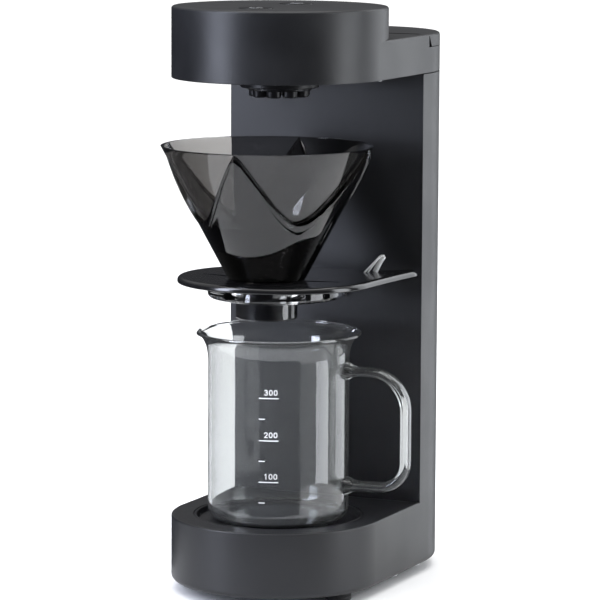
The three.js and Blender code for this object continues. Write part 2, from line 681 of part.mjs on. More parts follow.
// ---------- dripper: brim, cone, outlet collar and grip ----------
function brimOutline() {
  const tipY = columnFrontY - brimTipGap;
  const shape = new THREE.Shape();
  const joinAngle = THREE.MathUtils.degToRad(62);
  shape.absellipse(0, brimCentreY, brimHalfWidth, brimHalfDepth, joinAngle, 2 * Math.PI, false);
  shape.quadraticCurveTo(brimHalfWidth + 0.4, tipY - 20, brimTipX, tipY - 2);
  shape.quadraticCurveTo(brimTipX - 1, tipY, brimTipX - 3, tipY - 1);
  shape.quadraticCurveTo(brimTipX - 12, tipY - 12, brimHalfWidth * Math.cos(joinAngle),
    brimCentreY + brimHalfDepth * Math.sin(joinAngle));
  return shape;
}

// Outer radius of the cone inside its scallops.
function coneRadius(z) {
  return coneRimRadius - coneSlope * (coneRimZ - z);
}

// One scallop: the region above a parabola whose lowest point faces outwards, as a wide radial prism.
function scallopPrism(turn) {
  const footZ = brimTop + coneScallopFoot * coneHeight;
  const halfWidth = coneRimRadius * Math.sin(Math.PI / coneScallops);
  const shape = new THREE.Shape();
  shape.moveTo(-halfWidth, coneRimZ + 1);
  shape.quadraticCurveTo(0, 2 * footZ - coneRimZ, halfWidth, coneRimZ + 1);
  shape.closePath();
  const prism = new THREE.ExtrudeGeometry(shape, { depth: 90, bevelEnabled: false, curveSegments: 10 });
  prism.rotateX(Math.PI / 2);
  prism.rotateZ(turn);
  prism.translate(0, coneOffsetY, 0);
  return toManifold(prism);
}

function buildCone() {
  const foot = brimTop + gap;
  const sumpTop = foot + coneSumpHeight;
  const bandTop = coneRimZ - (coneBandDepth - coneBandRimDepth) / coneSlope;
  const thick = turned([
    [coneRadius(foot) - coneSumpWall, foot], [coneRadius(foot) + coneBandDepth, foot],
    [coneRimRadius + coneBandRimDepth, bandTop], [coneRimRadius + coneBandRimDepth, coneRimZ],
    [coneRimRadius - coneWall, coneRimZ], [coneRadius(sumpTop) - coneWall, sumpTop],
    [coneRadius(sumpTop) - coneSumpWall, sumpTop - 2], [coneRadius(foot) - coneSumpWall, foot],
  ], 0, coneOffsetY, 56);
  const skin = turned([
    [coneRadius(foot - 1), foot - 1], [2 * coneRimRadius, foot - 1], [2 * coneRimRadius, coneRimZ + 1],
    [coneRadius(coneRimZ + 1), coneRimZ + 1], [coneRadius(foot - 1), foot - 1],
  ], 0, coneOffsetY, 56);
  const scallops = Array.from({ length: coneScallops }, (_, index) => scallopPrism(
    coneScallopTurn + ((index + 0.5) * 2 * Math.PI) / coneScallops));
  return cut(thick, ...scallops.map((scallop) => scallop.intersect(skin)));
}

function buildBrim() {
  const plate = raised(brimOutline(), brimBottom, brimTop);
  const outlet = rod(spoutRadius - spoutWall, brimBottom - 1, brimTop + 1, 0, coneOffsetY, 40);
  const slots = [-1, 1].map((side) => block(-brimSlotLength / 2, brimSlotLength / 2,
    -brimSlotWidth / 2, brimSlotWidth / 2, brimBottom - 1, brimTop + 1)
    .rotate([0, 0, side * brimSlotTurn]).translate([side * brimSlotX, brimSlotY, 0]));
  return cut(plate, outlet, ...slots);
}
add('dripper_brim', fromManifold(buildBrim()), smokePlastic);
add('dripper_cone', fromManifold(buildCone()), smokePlastic);

// The dark outlet spout hangs from the brim inside the clear collar.
const spoutTop = brimBottom - gap;
add('dripper_spout', fromManifold(turned([
  [spoutRadius - spoutWall, spoutBottom], [spoutRadius, spoutBottom], [spoutRadius, spoutTop],
  [spoutRadius - spoutWall, spoutTop], [spoutRadius - spoutWall, spoutBottom],
], 0, coneOffsetY, 40)), deepBlack);
add('dripper_collar', fromManifold(turned([
  [collarRadius - collarWall, spoutBottom], [collarRadius, spoutBottom], [collarRadius, spoutTop],
  [collarRadius - collarWall, spoutTop], [collarRadius - collarWall, spoutBottom],
], 0, coneOffsetY, 40)), clearPlastic);

function buildGrip() {
  const arch = new THREE.Shape();
  arch.moveTo(-gripLength / 2, 0);
  arch.lineTo(gripLength / 2, 0);
  arch.lineTo(gripLength / 2, gripHeight - 5);
  arch.quadraticCurveTo(gripLength / 2, gripHeight, gripLength / 2 - 5, gripHeight);
  arch.lineTo(0, gripHeight);
  arch.quadraticCurveTo(-gripLength / 4, gripHeight, -gripLength / 2, 0);
  const fin = new THREE.ExtrudeGeometry(arch, {
    depth: gripThickness - 1, curveSegments: 8, bevelEnabled: true, bevelThickness: 0.5, bevelSize: 0.5,
    bevelOffset: -0.5, bevelSegments: 2,
  });
  fin.rotateX(Math.PI / 2);
  return fin;
}
const grip = add('dripper_grip', buildGrip(), smokePlastic);
grip.rotation.z = THREE.MathUtils.degToRad(52);
grip.position.set(40, 38, brimTop + gap);

// ---------- beaker ----------
function buildBeaker() {
  const top = beakerBottom + beakerHeight;
  const inside = beakerRadius - beakerWall;
  const corner = beakerCornerRadius;
  const arc = (radius, centre, height) => [0, 0.5, 1].map((share) => {
    const angle = (share * Math.PI) / 2;
    return [centre + radius * Math.sin(angle), height - radius * Math.cos(angle)];
  });
  const lipStart = top - beakerLipLength;
  const outer = [[0, beakerBottom], ...arc(corner, beakerRadius - corner, beakerBottom + corner),
    [beakerRadius, lipStart],
    [beakerRadius + 0.4 * beakerLipFlare, lipStart + 0.75 * beakerLipLength],
    [beakerRadius + 0.85 * beakerLipFlare, top - 0.9], [beakerRadius + beakerLipFlare, top - 0.3]];
  const inner = [[beakerRadius + beakerLipFlare - 0.5, top], [inside + 0.85 * beakerLipFlare, top - 0.6],
    [inside + 0.4 * beakerLipFlare, lipStart + 0.78 * beakerLipLength],
    [inside, lipStart],
    ...arc(corner - beakerWall, inside - corner + beakerWall, beakerBottom + corner).reverse(),
    [0, beakerBottom + beakerWall]];
  return turned([...outer, ...inner], 0, 0, 40);
}

// The pouring lip: a small beak pinched out of the rim, opposite the handle.
function buildPouringLip(beaker) {
  const top = beakerBottom + beakerHeight;
  const reach = beakerRadius + beakerLipFlare;
  const beak = (radius, drop) => turned([
    [0, top - 15 - drop], [radius * 0.35, top - 13 - drop], [radius, top + 2], [0, top + 2],
  ], beakRadius - reach - beakReach, 0, 16);
  const below = block(-beyond, beyond, -beyond, beyond, top - 20, top);
  const pinched = join(beaker, beak(beakRadius, 0).intersect(below));
  const inside = rod(beakerRadius - beakerWall, beakerBottom + beakerCornerRadius,
    top - beakerLipLength, 0, 0, 64);
  return cut(pinched, beak(beakRadius - beakerWall, -2.4), inside);
}
add('beaker_body', fromManifold(buildPouringLip(buildBeaker())), clearGlass);

function buildHandle() {
  const half = handleThickness / 2;
  const inner = beakerRadius + gap;
  const outer = handleReach - half;
  const bend = 15;
  const low = beakerBottom + handleLow;
  const high = beakerBottom + handleHigh;
  const path = new THREE.CurvePath();
  const at = (x, z) => new THREE.Vector3(x, 0, z);
  path.add(new THREE.LineCurve3(at(inner, low), at(outer - bend, low)));
  path.add(new THREE.QuadraticBezierCurve3(at(outer - bend, low), at(outer, low), at(outer, low + bend)));
  path.add(new THREE.LineCurve3(at(outer, low + bend), at(outer, high - bend)));
  path.add(new THREE.QuadraticBezierCurve3(at(outer, high - bend), at(outer, high), at(outer - bend, high)));
  path.add(new THREE.LineCurve3(at(outer - bend, high), at(inner, high)));
  const section = new THREE.Shape();
  section.absellipse(0, 0, half, handleWidth / 2, 0, 2 * Math.PI, false);
  const strap = new THREE.ExtrudeGeometry(section, {
    steps: 24, curveSegments: 4, bevelEnabled: false, extrudePath: path,
  });
  return cut(toManifold(strap), rod(beakerRadius + gap, beakerBottom, beakerBottom + beakerHeight, 0, 0, 64));
}
const handle = add('beaker_handle', fromManifold(buildHandle()), clearGlass);
handle.rotation.z = handleTurn;

// ---------- stand the whole machine on the middle of its footprint ----------
machine.updateMatrixWorld(true);
const bounds = new THREE.Box3().setFromObject(machine, true);
const brewer = new THREE.Group();
machine.position.set(-(bounds.min.x + bounds.max.x) / 2, -(bounds.min.y + bounds.max.y) / 2, -bounds.min.z);
brewer.add(machine);
brewer.updateMatrixWorld(true);

export default brewer;
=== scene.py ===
"""Builds the looks of a pour-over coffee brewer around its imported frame."""
import math

import bmesh
import bpy
from mathutils import Matrix, Vector


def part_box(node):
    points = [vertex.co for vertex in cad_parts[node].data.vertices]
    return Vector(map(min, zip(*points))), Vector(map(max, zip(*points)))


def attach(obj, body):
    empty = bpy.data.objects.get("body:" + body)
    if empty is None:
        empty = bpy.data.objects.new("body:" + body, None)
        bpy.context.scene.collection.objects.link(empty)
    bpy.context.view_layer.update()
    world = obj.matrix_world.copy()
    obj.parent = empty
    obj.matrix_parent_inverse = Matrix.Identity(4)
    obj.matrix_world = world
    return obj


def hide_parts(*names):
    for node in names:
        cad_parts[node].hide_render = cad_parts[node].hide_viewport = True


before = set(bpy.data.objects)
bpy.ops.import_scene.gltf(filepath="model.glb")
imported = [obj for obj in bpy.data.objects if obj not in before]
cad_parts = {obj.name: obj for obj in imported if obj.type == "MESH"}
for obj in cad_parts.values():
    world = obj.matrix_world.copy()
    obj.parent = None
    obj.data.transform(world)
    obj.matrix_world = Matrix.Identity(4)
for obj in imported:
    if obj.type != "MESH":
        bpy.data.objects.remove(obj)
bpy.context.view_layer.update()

bl_info = {
    "name": "Coffee Brewer",
    "version": (1, 0, 0),
    "blender": (4, 5, 0),
    "location": "View3D > Sidebar > Brewer",
    "description": "Builds a pour-over coffee brewer, its dripper and its beaker",
    "category": "Add Mesh",
}

MM = 0.001
FULL_TURN = 2 * math.pi

# ---------- places read from the frame ----------
CASING_LOW, CASING_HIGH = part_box("main_casing")
HEAD_LOW, HEAD_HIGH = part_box("head_shell")
LID_LOW, LID_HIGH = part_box("tank_lid")
PLATE_LOW, PLATE_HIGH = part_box("base_plate")
SEAT_LOW, SEAT_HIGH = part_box("beaker_seat")
BRIM_LOW, BRIM_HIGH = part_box("dripper_brim")
CONE_LOW, CONE_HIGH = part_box("dripper_cone")
SPOUT_LOW, SPOUT_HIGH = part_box("dripper_spout")
COLLAR_LOW, COLLAR_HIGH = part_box("dripper_collar")
HOLDER_LOW, HOLDER_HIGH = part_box("dripper_holder")
BEAKER_LOW, BEAKER_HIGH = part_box("beaker_body")
SPRAY_LOW, SPRAY_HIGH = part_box("spray_head")


def node_middle(node):
    """Middle of a CAD node's box."""
    low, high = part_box(node)
    return tuple((low[k] + high[k]) / 2 for k in range(3))


CLEARANCE = 0.3 * MM
PIN_BORE = 1.4 * MM
KNUCKLE_RADIUS = 2.4 * MM
SCREW_WAY = 1.8 * MM
LID_DEPTH = 6.9 * MM

BODY_RADIUS = (CASING_HIGH.x - CASING_LOW.x) / 2
AXIS_X = (CASING_HIGH.x + CASING_LOW.x) / 2
AXIS_Y = CASING_LOW.y + BODY_RADIUS
REAR_Y = CASING_HIGH.y - BODY_RADIUS
BASE_BOTTOM = PLATE_LOW.z
DECK_TOP = SEAT_HIGH.z
HEAD_BOTTOM = HEAD_LOW.z
CAP_TOP = HEAD_HIGH.z
FLAT_TOP = LID_LOW.z + LID_DEPTH
COLUMN_FRONT_Y = HOLDER_HIGH.y + CLEARANCE
CONE_X, CONE_Y = node_middle("dripper_cone")[:2]
PIN_Y, PIN_Z = node_middle("lid_hinge_pin")[1:]
LID_FRONT_Y = PIN_Y + 1.6 * MM
GROOVE_FRONT_Y = PIN_Y - 2.8 * MM


# ---------- flat outlines, as lists of (x, y) ----------
def arc(x, y, radius, start, end, steps):
    """Points along a circular arc, both ends included."""
    turns = [start + (end - start) * i / steps for i in range(steps + 1)]
    return [(x + radius * math.cos(a), y + radius * math.sin(a)) for a in turns]


def circle(x, y, radius, steps=128):
    return arc(x, y, radius, 0, FULL_TURN, steps)[:-1]


def stadium(inset=0.0, steps=72):
    """The machine's plan: a half round at the front and one at the rear."""
    radius = BODY_RADIUS - inset
    front = arc(AXIS_X, AXIS_Y, radius, math.pi, FULL_TURN, steps)
    return front + arc(AXIS_X, REAR_Y, radius, 0, math.pi, steps)


def rear_plan(front_y, inset=0.0, steps=72):
    """The part of that plan behind front_y."""
    radius = BODY_RADIUS - inset
    start = math.asin(max(0.0, front_y - REAR_Y) / radius)
    points = arc(AXIS_X, REAR_Y, radius, start, math.pi - start, steps)
    if front_y < REAR_Y:
        points += [(AXIS_X - radius, front_y), (AXIS_X + radius, front_y)]
    return points


# ---------- mesh builders ----------
def mesh_from(bm, name):
    """A new object from a bmesh, with its faces turned outwards."""
    bmesh.ops.remove_doubles(bm, verts=bm.verts, dist=1e-7)
    bmesh.ops.recalc_face_normals(bm, faces=bm.faces)
    mesh = bpy.data.meshes.new(name)
    bm.to_mesh(mesh)
    bm.free()
    piece = bpy.data.objects.new(name, mesh)
    bpy.context.scene.collection.objects.link(piece)
    return piece


def skin(bm, loops, wrap=False):
    """Joins rings of corners with faces; wrap joins the last to the first, and otherwise both ends are closed."""
    for low, high in zip(loops, loops[1:] + loops[:1] if wrap else loops[1:]):
        count = max(len(low), len(high))
        for i in range(count):
            j = (i + 1) % count
            if len(low) == 1:
                bm.faces.new((low[0], high[j], high[i]))
            elif len(high) == 1:
                bm.faces.new((low[i], low[j], high[0]))
            else:
                bm.faces.new((low[i], low[j], high[j], high[i]))
    if not wrap:
        for end in (loops[0][::-1], loops[-1]):
            if len(end) > 1:
                bm.faces.new(end)


def loft(name, rings, wrap=False):
    """Skins closed rings of 3-D points."""
    bm = bmesh.new()
    skin(bm, [[bm.verts.new(point) for point in ring] for ring in rings], wrap)
    return mesh_from(bm, name)


def prism(name, plan, low, high, low_round=0.0, high_round=0.0, steps=6):
    """A plan raised from low to high; plan(inset) gives its outline, and both rims can be rounded."""
    turns = [math.pi / 2 * i / steps for i in range(steps + 1)]
    levels = [(0.0, low), (0.0, high)]
    if low_round:
        levels[:1] = [(low_round * (1 - math.sin(t)), low + low_round * (1 - math.cos(t))) for t in turns]
    if high_round:
        levels[-1:] = [(high_round * (1 - math.cos(t)), high - high_round * (1 - math.sin(t))) for t in turns]
    return loft(name, [[(x, y, z) for x, y in plan(inset)] for inset, z in levels])


def turned(name, profile, x, y, steps=96, closed=False):
    """A solid of revolution about a vertical line; profile holds (radius, height) pairs."""
    bm = bmesh.new()
    rings = []
    for radius, height in profile:
        if radius < 1e-9:
            rings.append([bm.verts.new((x, y, height))])
        else:
            rings.append([bm.verts.new((px, py, height)) for px, py in circle(x, y, radius, steps)])
    skin(bm, rings, closed)
    return mesh_from(bm, name)


def corner(radius, centre_r, centre_z, start, end, steps=6):
    """Profile points round a corner; angles in degrees, 0 along +radius and 90 straight up."""
    turns = [math.radians(start + (end - start) * i / steps) for i in range(steps + 1)]
    return [(centre_r + radius * math.cos(t), centre_z + radius * math.sin(t)) for t in turns]


def block(name, low, high):
    bm = bmesh.new()
    bmesh.ops.create_cube(bm, size=1.0)
    size = Vector(high) - Vector(low)
    centre = (Vector(high) + Vector(low)) / 2
    bmesh.ops.transform(bm, verts=bm.verts, matrix=Matrix.Translation(centre) @ Matrix.Diagonal((*size, 1)))
    return mesh_from(bm, name)


def cross_rod(name, axis, radius, start, end, steps=48):
    """A round bar along X or Y between two points that share the other coordinates."""
    bar = turned(name, [(0, 0), (radius, 0), (radius, 1), (0, 1)], 0, 0, steps)
    length = (Vector(end) - Vector(start)).length
    turn = Matrix.Rotation(math.pi / 2, 4, "Y") if axis == "X" else Matrix.Rotation(-math.pi / 2, 4, "X")
    bar.data.transform(Matrix.Translation(Vector(start)) @ turn @ Matrix.Diagonal((1, 1, length, 1)))
    return bar


def bake_modifiers(piece):
    """Turns the piece's modifiers into plain mesh."""
    graph = bpy.context.evaluated_depsgraph_get()
    graph.update()
    mesh = bpy.data.meshes.new_from_object(piece.evaluated_get(graph))
    piece.modifiers.clear()
    old = piece.data
    piece.data = mesh
    bpy.data.meshes.remove(old)


def combine(piece, other, operation):
    modifier = piece.modifiers.new("combine", "BOOLEAN")
    modifier.operation = operation
    modifier.object = other
    modifier.solver = "MANIFOLD"
    bake_modifiers(piece)
    bpy.data.objects.remove(other)
    if not piece.data.polygons:
        raise RuntimeError(f"{piece.name} lost its faces")
    return piece


def cut(piece, *tools):
    for tool in tools:
        combine(piece, tool, "DIFFERENCE")
    return piece


def join(piece, *others):
    for other in others:
        combine(piece, other, "UNION")
    return piece


def soften(piece, width, segments=3, angle=40):
    """Breaks sharp edges with a small round and keeps flat faces flat when shaded."""
    bm = bmesh.new()
    bm.from_mesh(piece.data)
    bmesh.ops.remove_doubles(bm, verts=bm.verts, dist=0.02 * MM)
    bmesh.ops.dissolve_limit(bm, angle_limit=math.radians(0.2), verts=bm.verts, edges=bm.edges)
    bm.to_mesh(piece.data)
    bm.free()
    bevel = piece.modifiers.new("edge", "BEVEL")
    bevel.width = width
    bevel.segments = segments
    bevel.limit_method = "ANGLE"
    bevel.angle_limit = math.radians(angle)
    bevel.miter_outer = "MITER_ARC"
    bake_modifiers(piece)
    return shade(piece)


def split_wide_faces(piece, most_corners=24, level=0.9, cuts=5):
    """Cuts level faces with many corners into patches, so that ring-shaped ones fill properly."""
    bm = bmesh.new()
    bm.from_mesh(piece.data)
    for axis in (Vector((1, 0, 0)), Vector((0, 1, 0))):
        reach = [vertex.co.dot(axis) for vertex in bm.verts]
        for place in spaced(min(reach), max(reach), cuts + 2)[1:-1]:
            wide = [face for face in bm.faces if len(face.verts) > most_corners and abs(face.normal.z) > level]
            edges = {edge for face in wide for edge in face.edges}
            corners = {vertex for face in wide for vertex in face.verts}
            bmesh.ops.bisect_plane(bm, geom=[*wide, *edges, *corners], plane_co=axis * place, plane_no=axis, dist=1e-7)
    bm.to_mesh(piece.data)
    bm.free()


def shade(piece, angle=32):
    piece.data.shade_smooth()
    piece.data.set_sharp_from_angle(angle=math.radians(angle))
    weighted = piece.modifiers.new("shading", "WEIGHTED_NORMAL")
    weighted.keep_sharp = True
    return piece


def settle(piece, body, slot, material, *nodes):
    """Gives a piece its material and body, and hides the frame nodes that it stands for."""
    piece.data.materials.clear()
    piece.data.materials.append(material)
    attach(piece, body)
    if nodes:
        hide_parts(*nodes)
    return piece


# ---------- materials ----------
def principled(name, colour, roughness, **values):
    """A node material with its shader's own sockets set."""
    material = bpy.data.materials.new(name)
    material.use_nodes = True
    shader = material.node_tree.nodes["Principled BSDF"]
    shader.inputs["Base Color"].default_value = (*colour[:3], 1)
    shader.inputs["Roughness"].default_value = roughness
    for socket, value in values.items():
        shader.inputs[socket.replace("_", " ")].default_value = value
    return material, shader


def noise(material, scale, detail=3.0, stretch=(1, 1, 1)):
    """Noise in the piece's own coordinates; scale is in grains per metre."""
    nodes, links = material.node_tree.nodes, material.node_tree.links
    place = nodes.new("ShaderNodeTexCoord")
    spread = nodes.new("ShaderNodeMapping")
    spread.inputs["Scale"].default_value = stretch
    grain = nodes.new("ShaderNodeTexNoise")
    grain.inputs["Scale"].default_value = scale
    grain.inputs["Detail"].default_value = detail
    links.new(place.outputs["Object"], spread.inputs["Vector"])
    links.new(spread.outputs["Vector"], grain.inputs["Vector"])
    return grain.outputs["Fac"]


def vary_colour(material, shader, factor, dark, light):
    ramp = material.node_tree.nodes.new("ShaderNodeValToRGB")
    ramp.color_ramp.elements[0].position = 0.3
    ramp.color_ramp.elements[1].position = 0.7
    ramp.color_ramp.elements[0].color = (*dark[:3], 1)
    ramp.color_ramp.elements[1].color = (*light[:3], 1)
    material.node_tree.links.new(factor, ramp.inputs["Fac"])
    material.node_tree.links.new(ramp.outputs["Color"], shader.inputs["Base Color"])


def vary_roughness(material, shader, factor, low, high):
    band = material.node_tree.nodes.new("ShaderNodeMapRange")
    band.inputs["From Min"].default_value = 0.3
    band.inputs["From Max"].default_value = 0.7
    band.inputs["To Min"].default_value = low
    band.inputs["To Max"].default_value = high
    material.node_tree.links.new(factor, band.inputs["Value"])
    material.node_tree.links.new(band.outputs["Result"], shader.inputs["Roughness"])


def roughen(material, shader, factor, depth, strength=1.0):
    bump = material.node_tree.nodes.new("ShaderNodeBump")
    bump.inputs["Distance"].default_value = depth
    bump.inputs["Strength"].default_value = strength
    material.node_tree.links.new(factor, bump.inputs["Height"])
    material.node_tree.links.new(bump.outputs["Normal"], shader.inputs["Normal"])


def scaled(colour, factor):
    return tuple(min(1.0, c * factor) for c in colour[:3])


def spark_eroded_plastic(name, colour, roughness, grain=2600, depth=0.05 * MM, **values):
    """Moulded plastic from a finely textured tool."""
    material, shader = principled(name, colour, roughness, **values)
    cloud = noise(material, 35, 2)
    vary_colour(material, shader, cloud, scaled(colour, 0.86), scaled(colour, 1.16))
    vary_roughness(material, shader, cloud, roughness - 0.03, roughness + 0.04)
    roughen(material, shader, noise(material, grain, 2), depth)
    return material


def polished_black(name, colour, roughness):
    """Glossy plastic with the faint waviness of a thick moulding."""
    material, shader = principled(name, colour, roughness, IOR=1.52)
    wave = noise(material, 60, 2)
    vary_colour(material, shader, wave, scaled(colour, 0.8), scaled(colour, 1.2))
    vary_roughness(material, shader, noise(material, 180, 4), roughness * 0.8, roughness * 1.35)
    roughen(material, shader, wave, 0.25 * MM, 0.3)
    return material


def see_through(name, tint, ior, roughness=0.0, wave_scale=45, wave_depth=0.2 * MM, density=0.0, stain=None, clear=1.0):
    """Glass or clear plastic; density and stain set how a thick wall darkens."""
    material, shader = principled(name, tint, roughness, Transmission_Weight=clear, IOR=ior)
    wave = noise(material, wave_scale, 1)
    roughen(material, shader, wave, wave_depth, 0.35)
    vary_roughness(material, shader, noise(material, 300, 3), roughness, roughness + 0.015)
    if density:
        nodes, links = material.node_tree.nodes, material.node_tree.links
        inside = nodes.new("ShaderNodeVolumeAbsorption")
        inside.inputs["Color"].default_value = (*stain[:3], 1)
        inside.inputs["Density"].default_value = density
        links.new(inside.outputs["Volume"], nodes["Material Output"].inputs["Volume"])
    return material


def metal(name, colour, roughness, stretch=(1, 1, 12)):
    """Turned or brushed metal with streaks along one direction."""
    material, shader = principled(name, colour, roughness, Metallic=1.0)
    streaks = noise(material, 420, 3, stretch)
    vary_roughness(material, shader, streaks, roughness - 0.08, roughness + 0.1)
    vary_colour(material, shader, noise(material, 60, 2), scaled(colour, 0.9), scaled(colour, 1.05))
    roughen(material, shader, streaks, 0.02 * MM, 0.5)
    return material


def soft_rubber(name, colour, roughness=0.75):
    material, shader = principled(name, colour, roughness)
    speckle = noise(material, 900, 4)
    vary_colour(material, shader, noise(material, 70, 2), scaled(colour, 0.85), scaled(colour, 1.15))
    vary_roughness(material, shader, speckle, roughness - 0.08, roughness + 0.08)
    roughen(material, shader, speckle, 0.06 * MM, 0.6)
    return material


def solder_mask(name, colour):
    """Circuit board with faint tracks."""
    material, shader = principled(name, colour, 0.4)
    nodes, links = material.node_tree.nodes, material.node_tree.links
    place = nodes.new("ShaderNodeTexCoord")
    tracks = nodes.new("ShaderNodeTexBrick")
    tracks.inputs["Scale"].default_value = 160
    tracks.inputs["Mortar Size"].default_value = 0.03
    tracks.inputs["Color1"].default_value = (*colour[:3], 1)
    tracks.inputs["Color2"].default_value = (*scaled(colour, 0.8), 1)
    tracks.inputs["Mortar"].default_value = (*scaled(colour, 1.7), 1)
    links.new(place.outputs["Object"], tracks.inputs["Vector"])
    links.new(tracks.outputs["Color"], shader.inputs["Base Color"])
    vary_roughness(material, shader, noise(material, 200, 3), 0.32, 0.5)
    return material


FINISHES = {}


def finish(name):
    """The shared material of that name, made from the finishes set in the panel."""
    if name not in FINISHES:
        colours = bpy.context.scene.brewer_colours
        makers = {
            "satin_black": lambda: spark_eroded_plastic(
                "satin_black", colours.casing, 0.4, Specular_IOR_Level=0.38),
            "deep_black": lambda: spark_eroded_plastic(
                "deep_black", colours.dark, 0.36, grain=3200, depth=0.03 * MM, Specular_IOR_Level=0.22),
            "smoke": lambda: see_through(
                "smoke_plastic", (1, 1, 1), 1.5, 0.0, 60, 0.12 * MM, 1250, colours.smoke),
            "brim_smoke": lambda: polished_black("brim_smoke", colours.brim, 0.16),
            # The glass keeps a small diffuse share (0.975 clear), which lays an even pale veil over the beaker: painted
            # reflection.
            "glass": lambda: see_through(
                "clear_glass", colours.glass, 1.47, 0.0, 38, 0.35 * MM, 90, colours.glass_depth, 0.975),
            "clear_plastic": lambda: see_through(
                "clear_plastic", colours.clear_plastic, 1.49, 0.0, 70, 0.25 * MM),
            # Pale and half diffuse, so that the grip shows white all over: a painted highlight on clear plastic.
            "painted_highlight_plastic": lambda: see_through(
                "painted_highlight_plastic", colours.clear_plastic, 1.49, 0.3, 70, 0.2 * MM, clear=0.5),
            "print": lambda: spark_eroded_plastic(
                "white_print", colours.marks, 0.6, grain=4000, depth=0.02 * MM),
            "key_print": lambda: spark_eroded_plastic(
                "grey_print", scaled(colours.marks, 0.22), 0.6, grain=4000, depth=0.02 * MM),
            "rubber": lambda: soft_rubber("black_rubber", (0.014, 0.014, 0.015)),
            "silicone": lambda: soft_rubber("pale_silicone", (0.62, 0.62, 0.58), 0.6),
            "steel": lambda: metal("steel", colours.metal, 0.3),
            "aluminium": lambda: metal("cast_aluminium", (0.66, 0.67, 0.69), 0.48, (3, 3, 3)),
            "board": lambda: solder_mask("green_board", (0.02, 0.09, 0.045)),
            "white_plastic": lambda: spark_eroded_plastic(
                "white_plastic", (0.72, 0.72, 0.69), 0.48, grain=1500),
        }
        FINISHES[name] = makers[name]()
    return FINISHES[name]


def repaint(node, material):
    """Gives a CAD node a finer material and leaves its shape alone."""
    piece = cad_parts[node]
    if not piece.material_slots:
        piece.data.materials.append(material)
    for place in piece.material_slots:
        place.link = "OBJECT"
        place.material = material


# ---------- settings ----------
def size_setting(name, description, default, low, high):
    """A length for the panel, given in millimetres."""
    return bpy.props.FloatProperty(
        name=name, description=description, default=default * MM, min=low * MM, max=high * MM,
        subtype="DISTANCE", unit="LENGTH")


class BrewerSizes(bpy.types.PropertyGroup):
    casing_edge: size_setting("Casing edge", "Round on the casing's sharp edges", 0.8, 0.1, 2)
    deck_edge: size_setting("Deck edge", "Round along the rim of the foot's deck", 0.9, 0.2, 3)
    foot_round: size_setting("Foot round", "Large round under the foot", 3, 0.5, 6)
    head_edge: size_setting("Head edge", "Round on the rims of the head and its cap", 1.5, 0.3, 4)
    shell_wall: size_setting("Shell wall", "Wall of the moulded shells", 2.5, 1, 4)
    cone_wall: size_setting("Cone wall", "Wall of the cone between its arches", 1.8, 1, 3)
    cone_band: size_setting("Cone band", "How far the lower part of the cone stands proud", 2.1, 0.5, 3)
    glass_wall: size_setting("Beaker wall", "Wall of the beaker", 1.8, 1, 3)
    mark_stroke: size_setting("Mark stroke", "Width of the lines of the volume marks", 0.5, 0.2, 1)


def colour_setting(name, description, default):
    return bpy.props.FloatVectorProperty(
        name=name, description=description, default=default, size=3, min=0, max=1, subtype="COLOR")


class BrewerColours(bpy.types.PropertyGroup):
    casing: colour_setting("Casing", "Satin plastic of the casing", (0.0085, 0.0088, 0.0102))
    dark: colour_setting("Dark parts", "Seat, keys and spray head", (0.006, 0.006, 0.007))
    smoke: colour_setting("Smoke", "Stain inside the cone's plastic", (0.5, 0.49, 0.48))
    brim: colour_setting("Brim", "Near opaque smoke plastic of the brim", (0.006, 0.006, 0.0065))
    glass: colour_setting("Glass", "Tint of the beaker", (0.87, 0.88, 0.875))
    glass_depth: colour_setting("Glass depth", "What is left of light deep in the glass", (0.1, 0.12, 0.11))
    clear_plastic: colour_setting("Clear plastic", "Tint of the holder and collar", (0.93, 0.94, 0.95))
    metal: colour_setting("Steel", "Screws, hinge pin and fittings", (0.56, 0.57, 0.59))
    marks: colour_setting("Marks", "Volume marks and key symbols", (0.82, 0.82, 0.82))


# ---------- shared solids ----------
def flat_sheet(name, outline, low, high, low_round=0.0, high_round=0.0, steps=4):
    """An outline given as points, raised from low to high with both rims rounded by moving its points inwards."""
    if not high_round:
        return prism(name, lambda inset: outline, low, high)
    count = len(outline)
    area = sum(outline[i][0] * outline[(i + 1) % count][1] - outline[(i + 1) % count][0] * outline[i][1]
               for i in range(count))
    side = 1 if area > 0 else -1

    def inset_by(inset):
        moved = []
        for i in range(count):
            before, here, after = outline[i - 1], outline[i], outline[(i + 1) % count]
            along = Vector((after[0] - before[0], after[1] - before[1])).normalized()
            moved.append((here[0] - side * along.y * inset, here[1] + side * along.x * inset))
        return moved

    return prism(name, inset_by, low, high, low_round, high_round, steps)


# ---------- pieces, one operator for each or for a group of like pieces ----------
class BrewerOperator(bpy.types.Operator):
    """What every piece builder of the brewer shares."""
    bl_options = {"REGISTER", "UNDO"}

    def execute(self, context):
        self.make(context.scene.brewer_sizes)
        return {"FINISHED"}


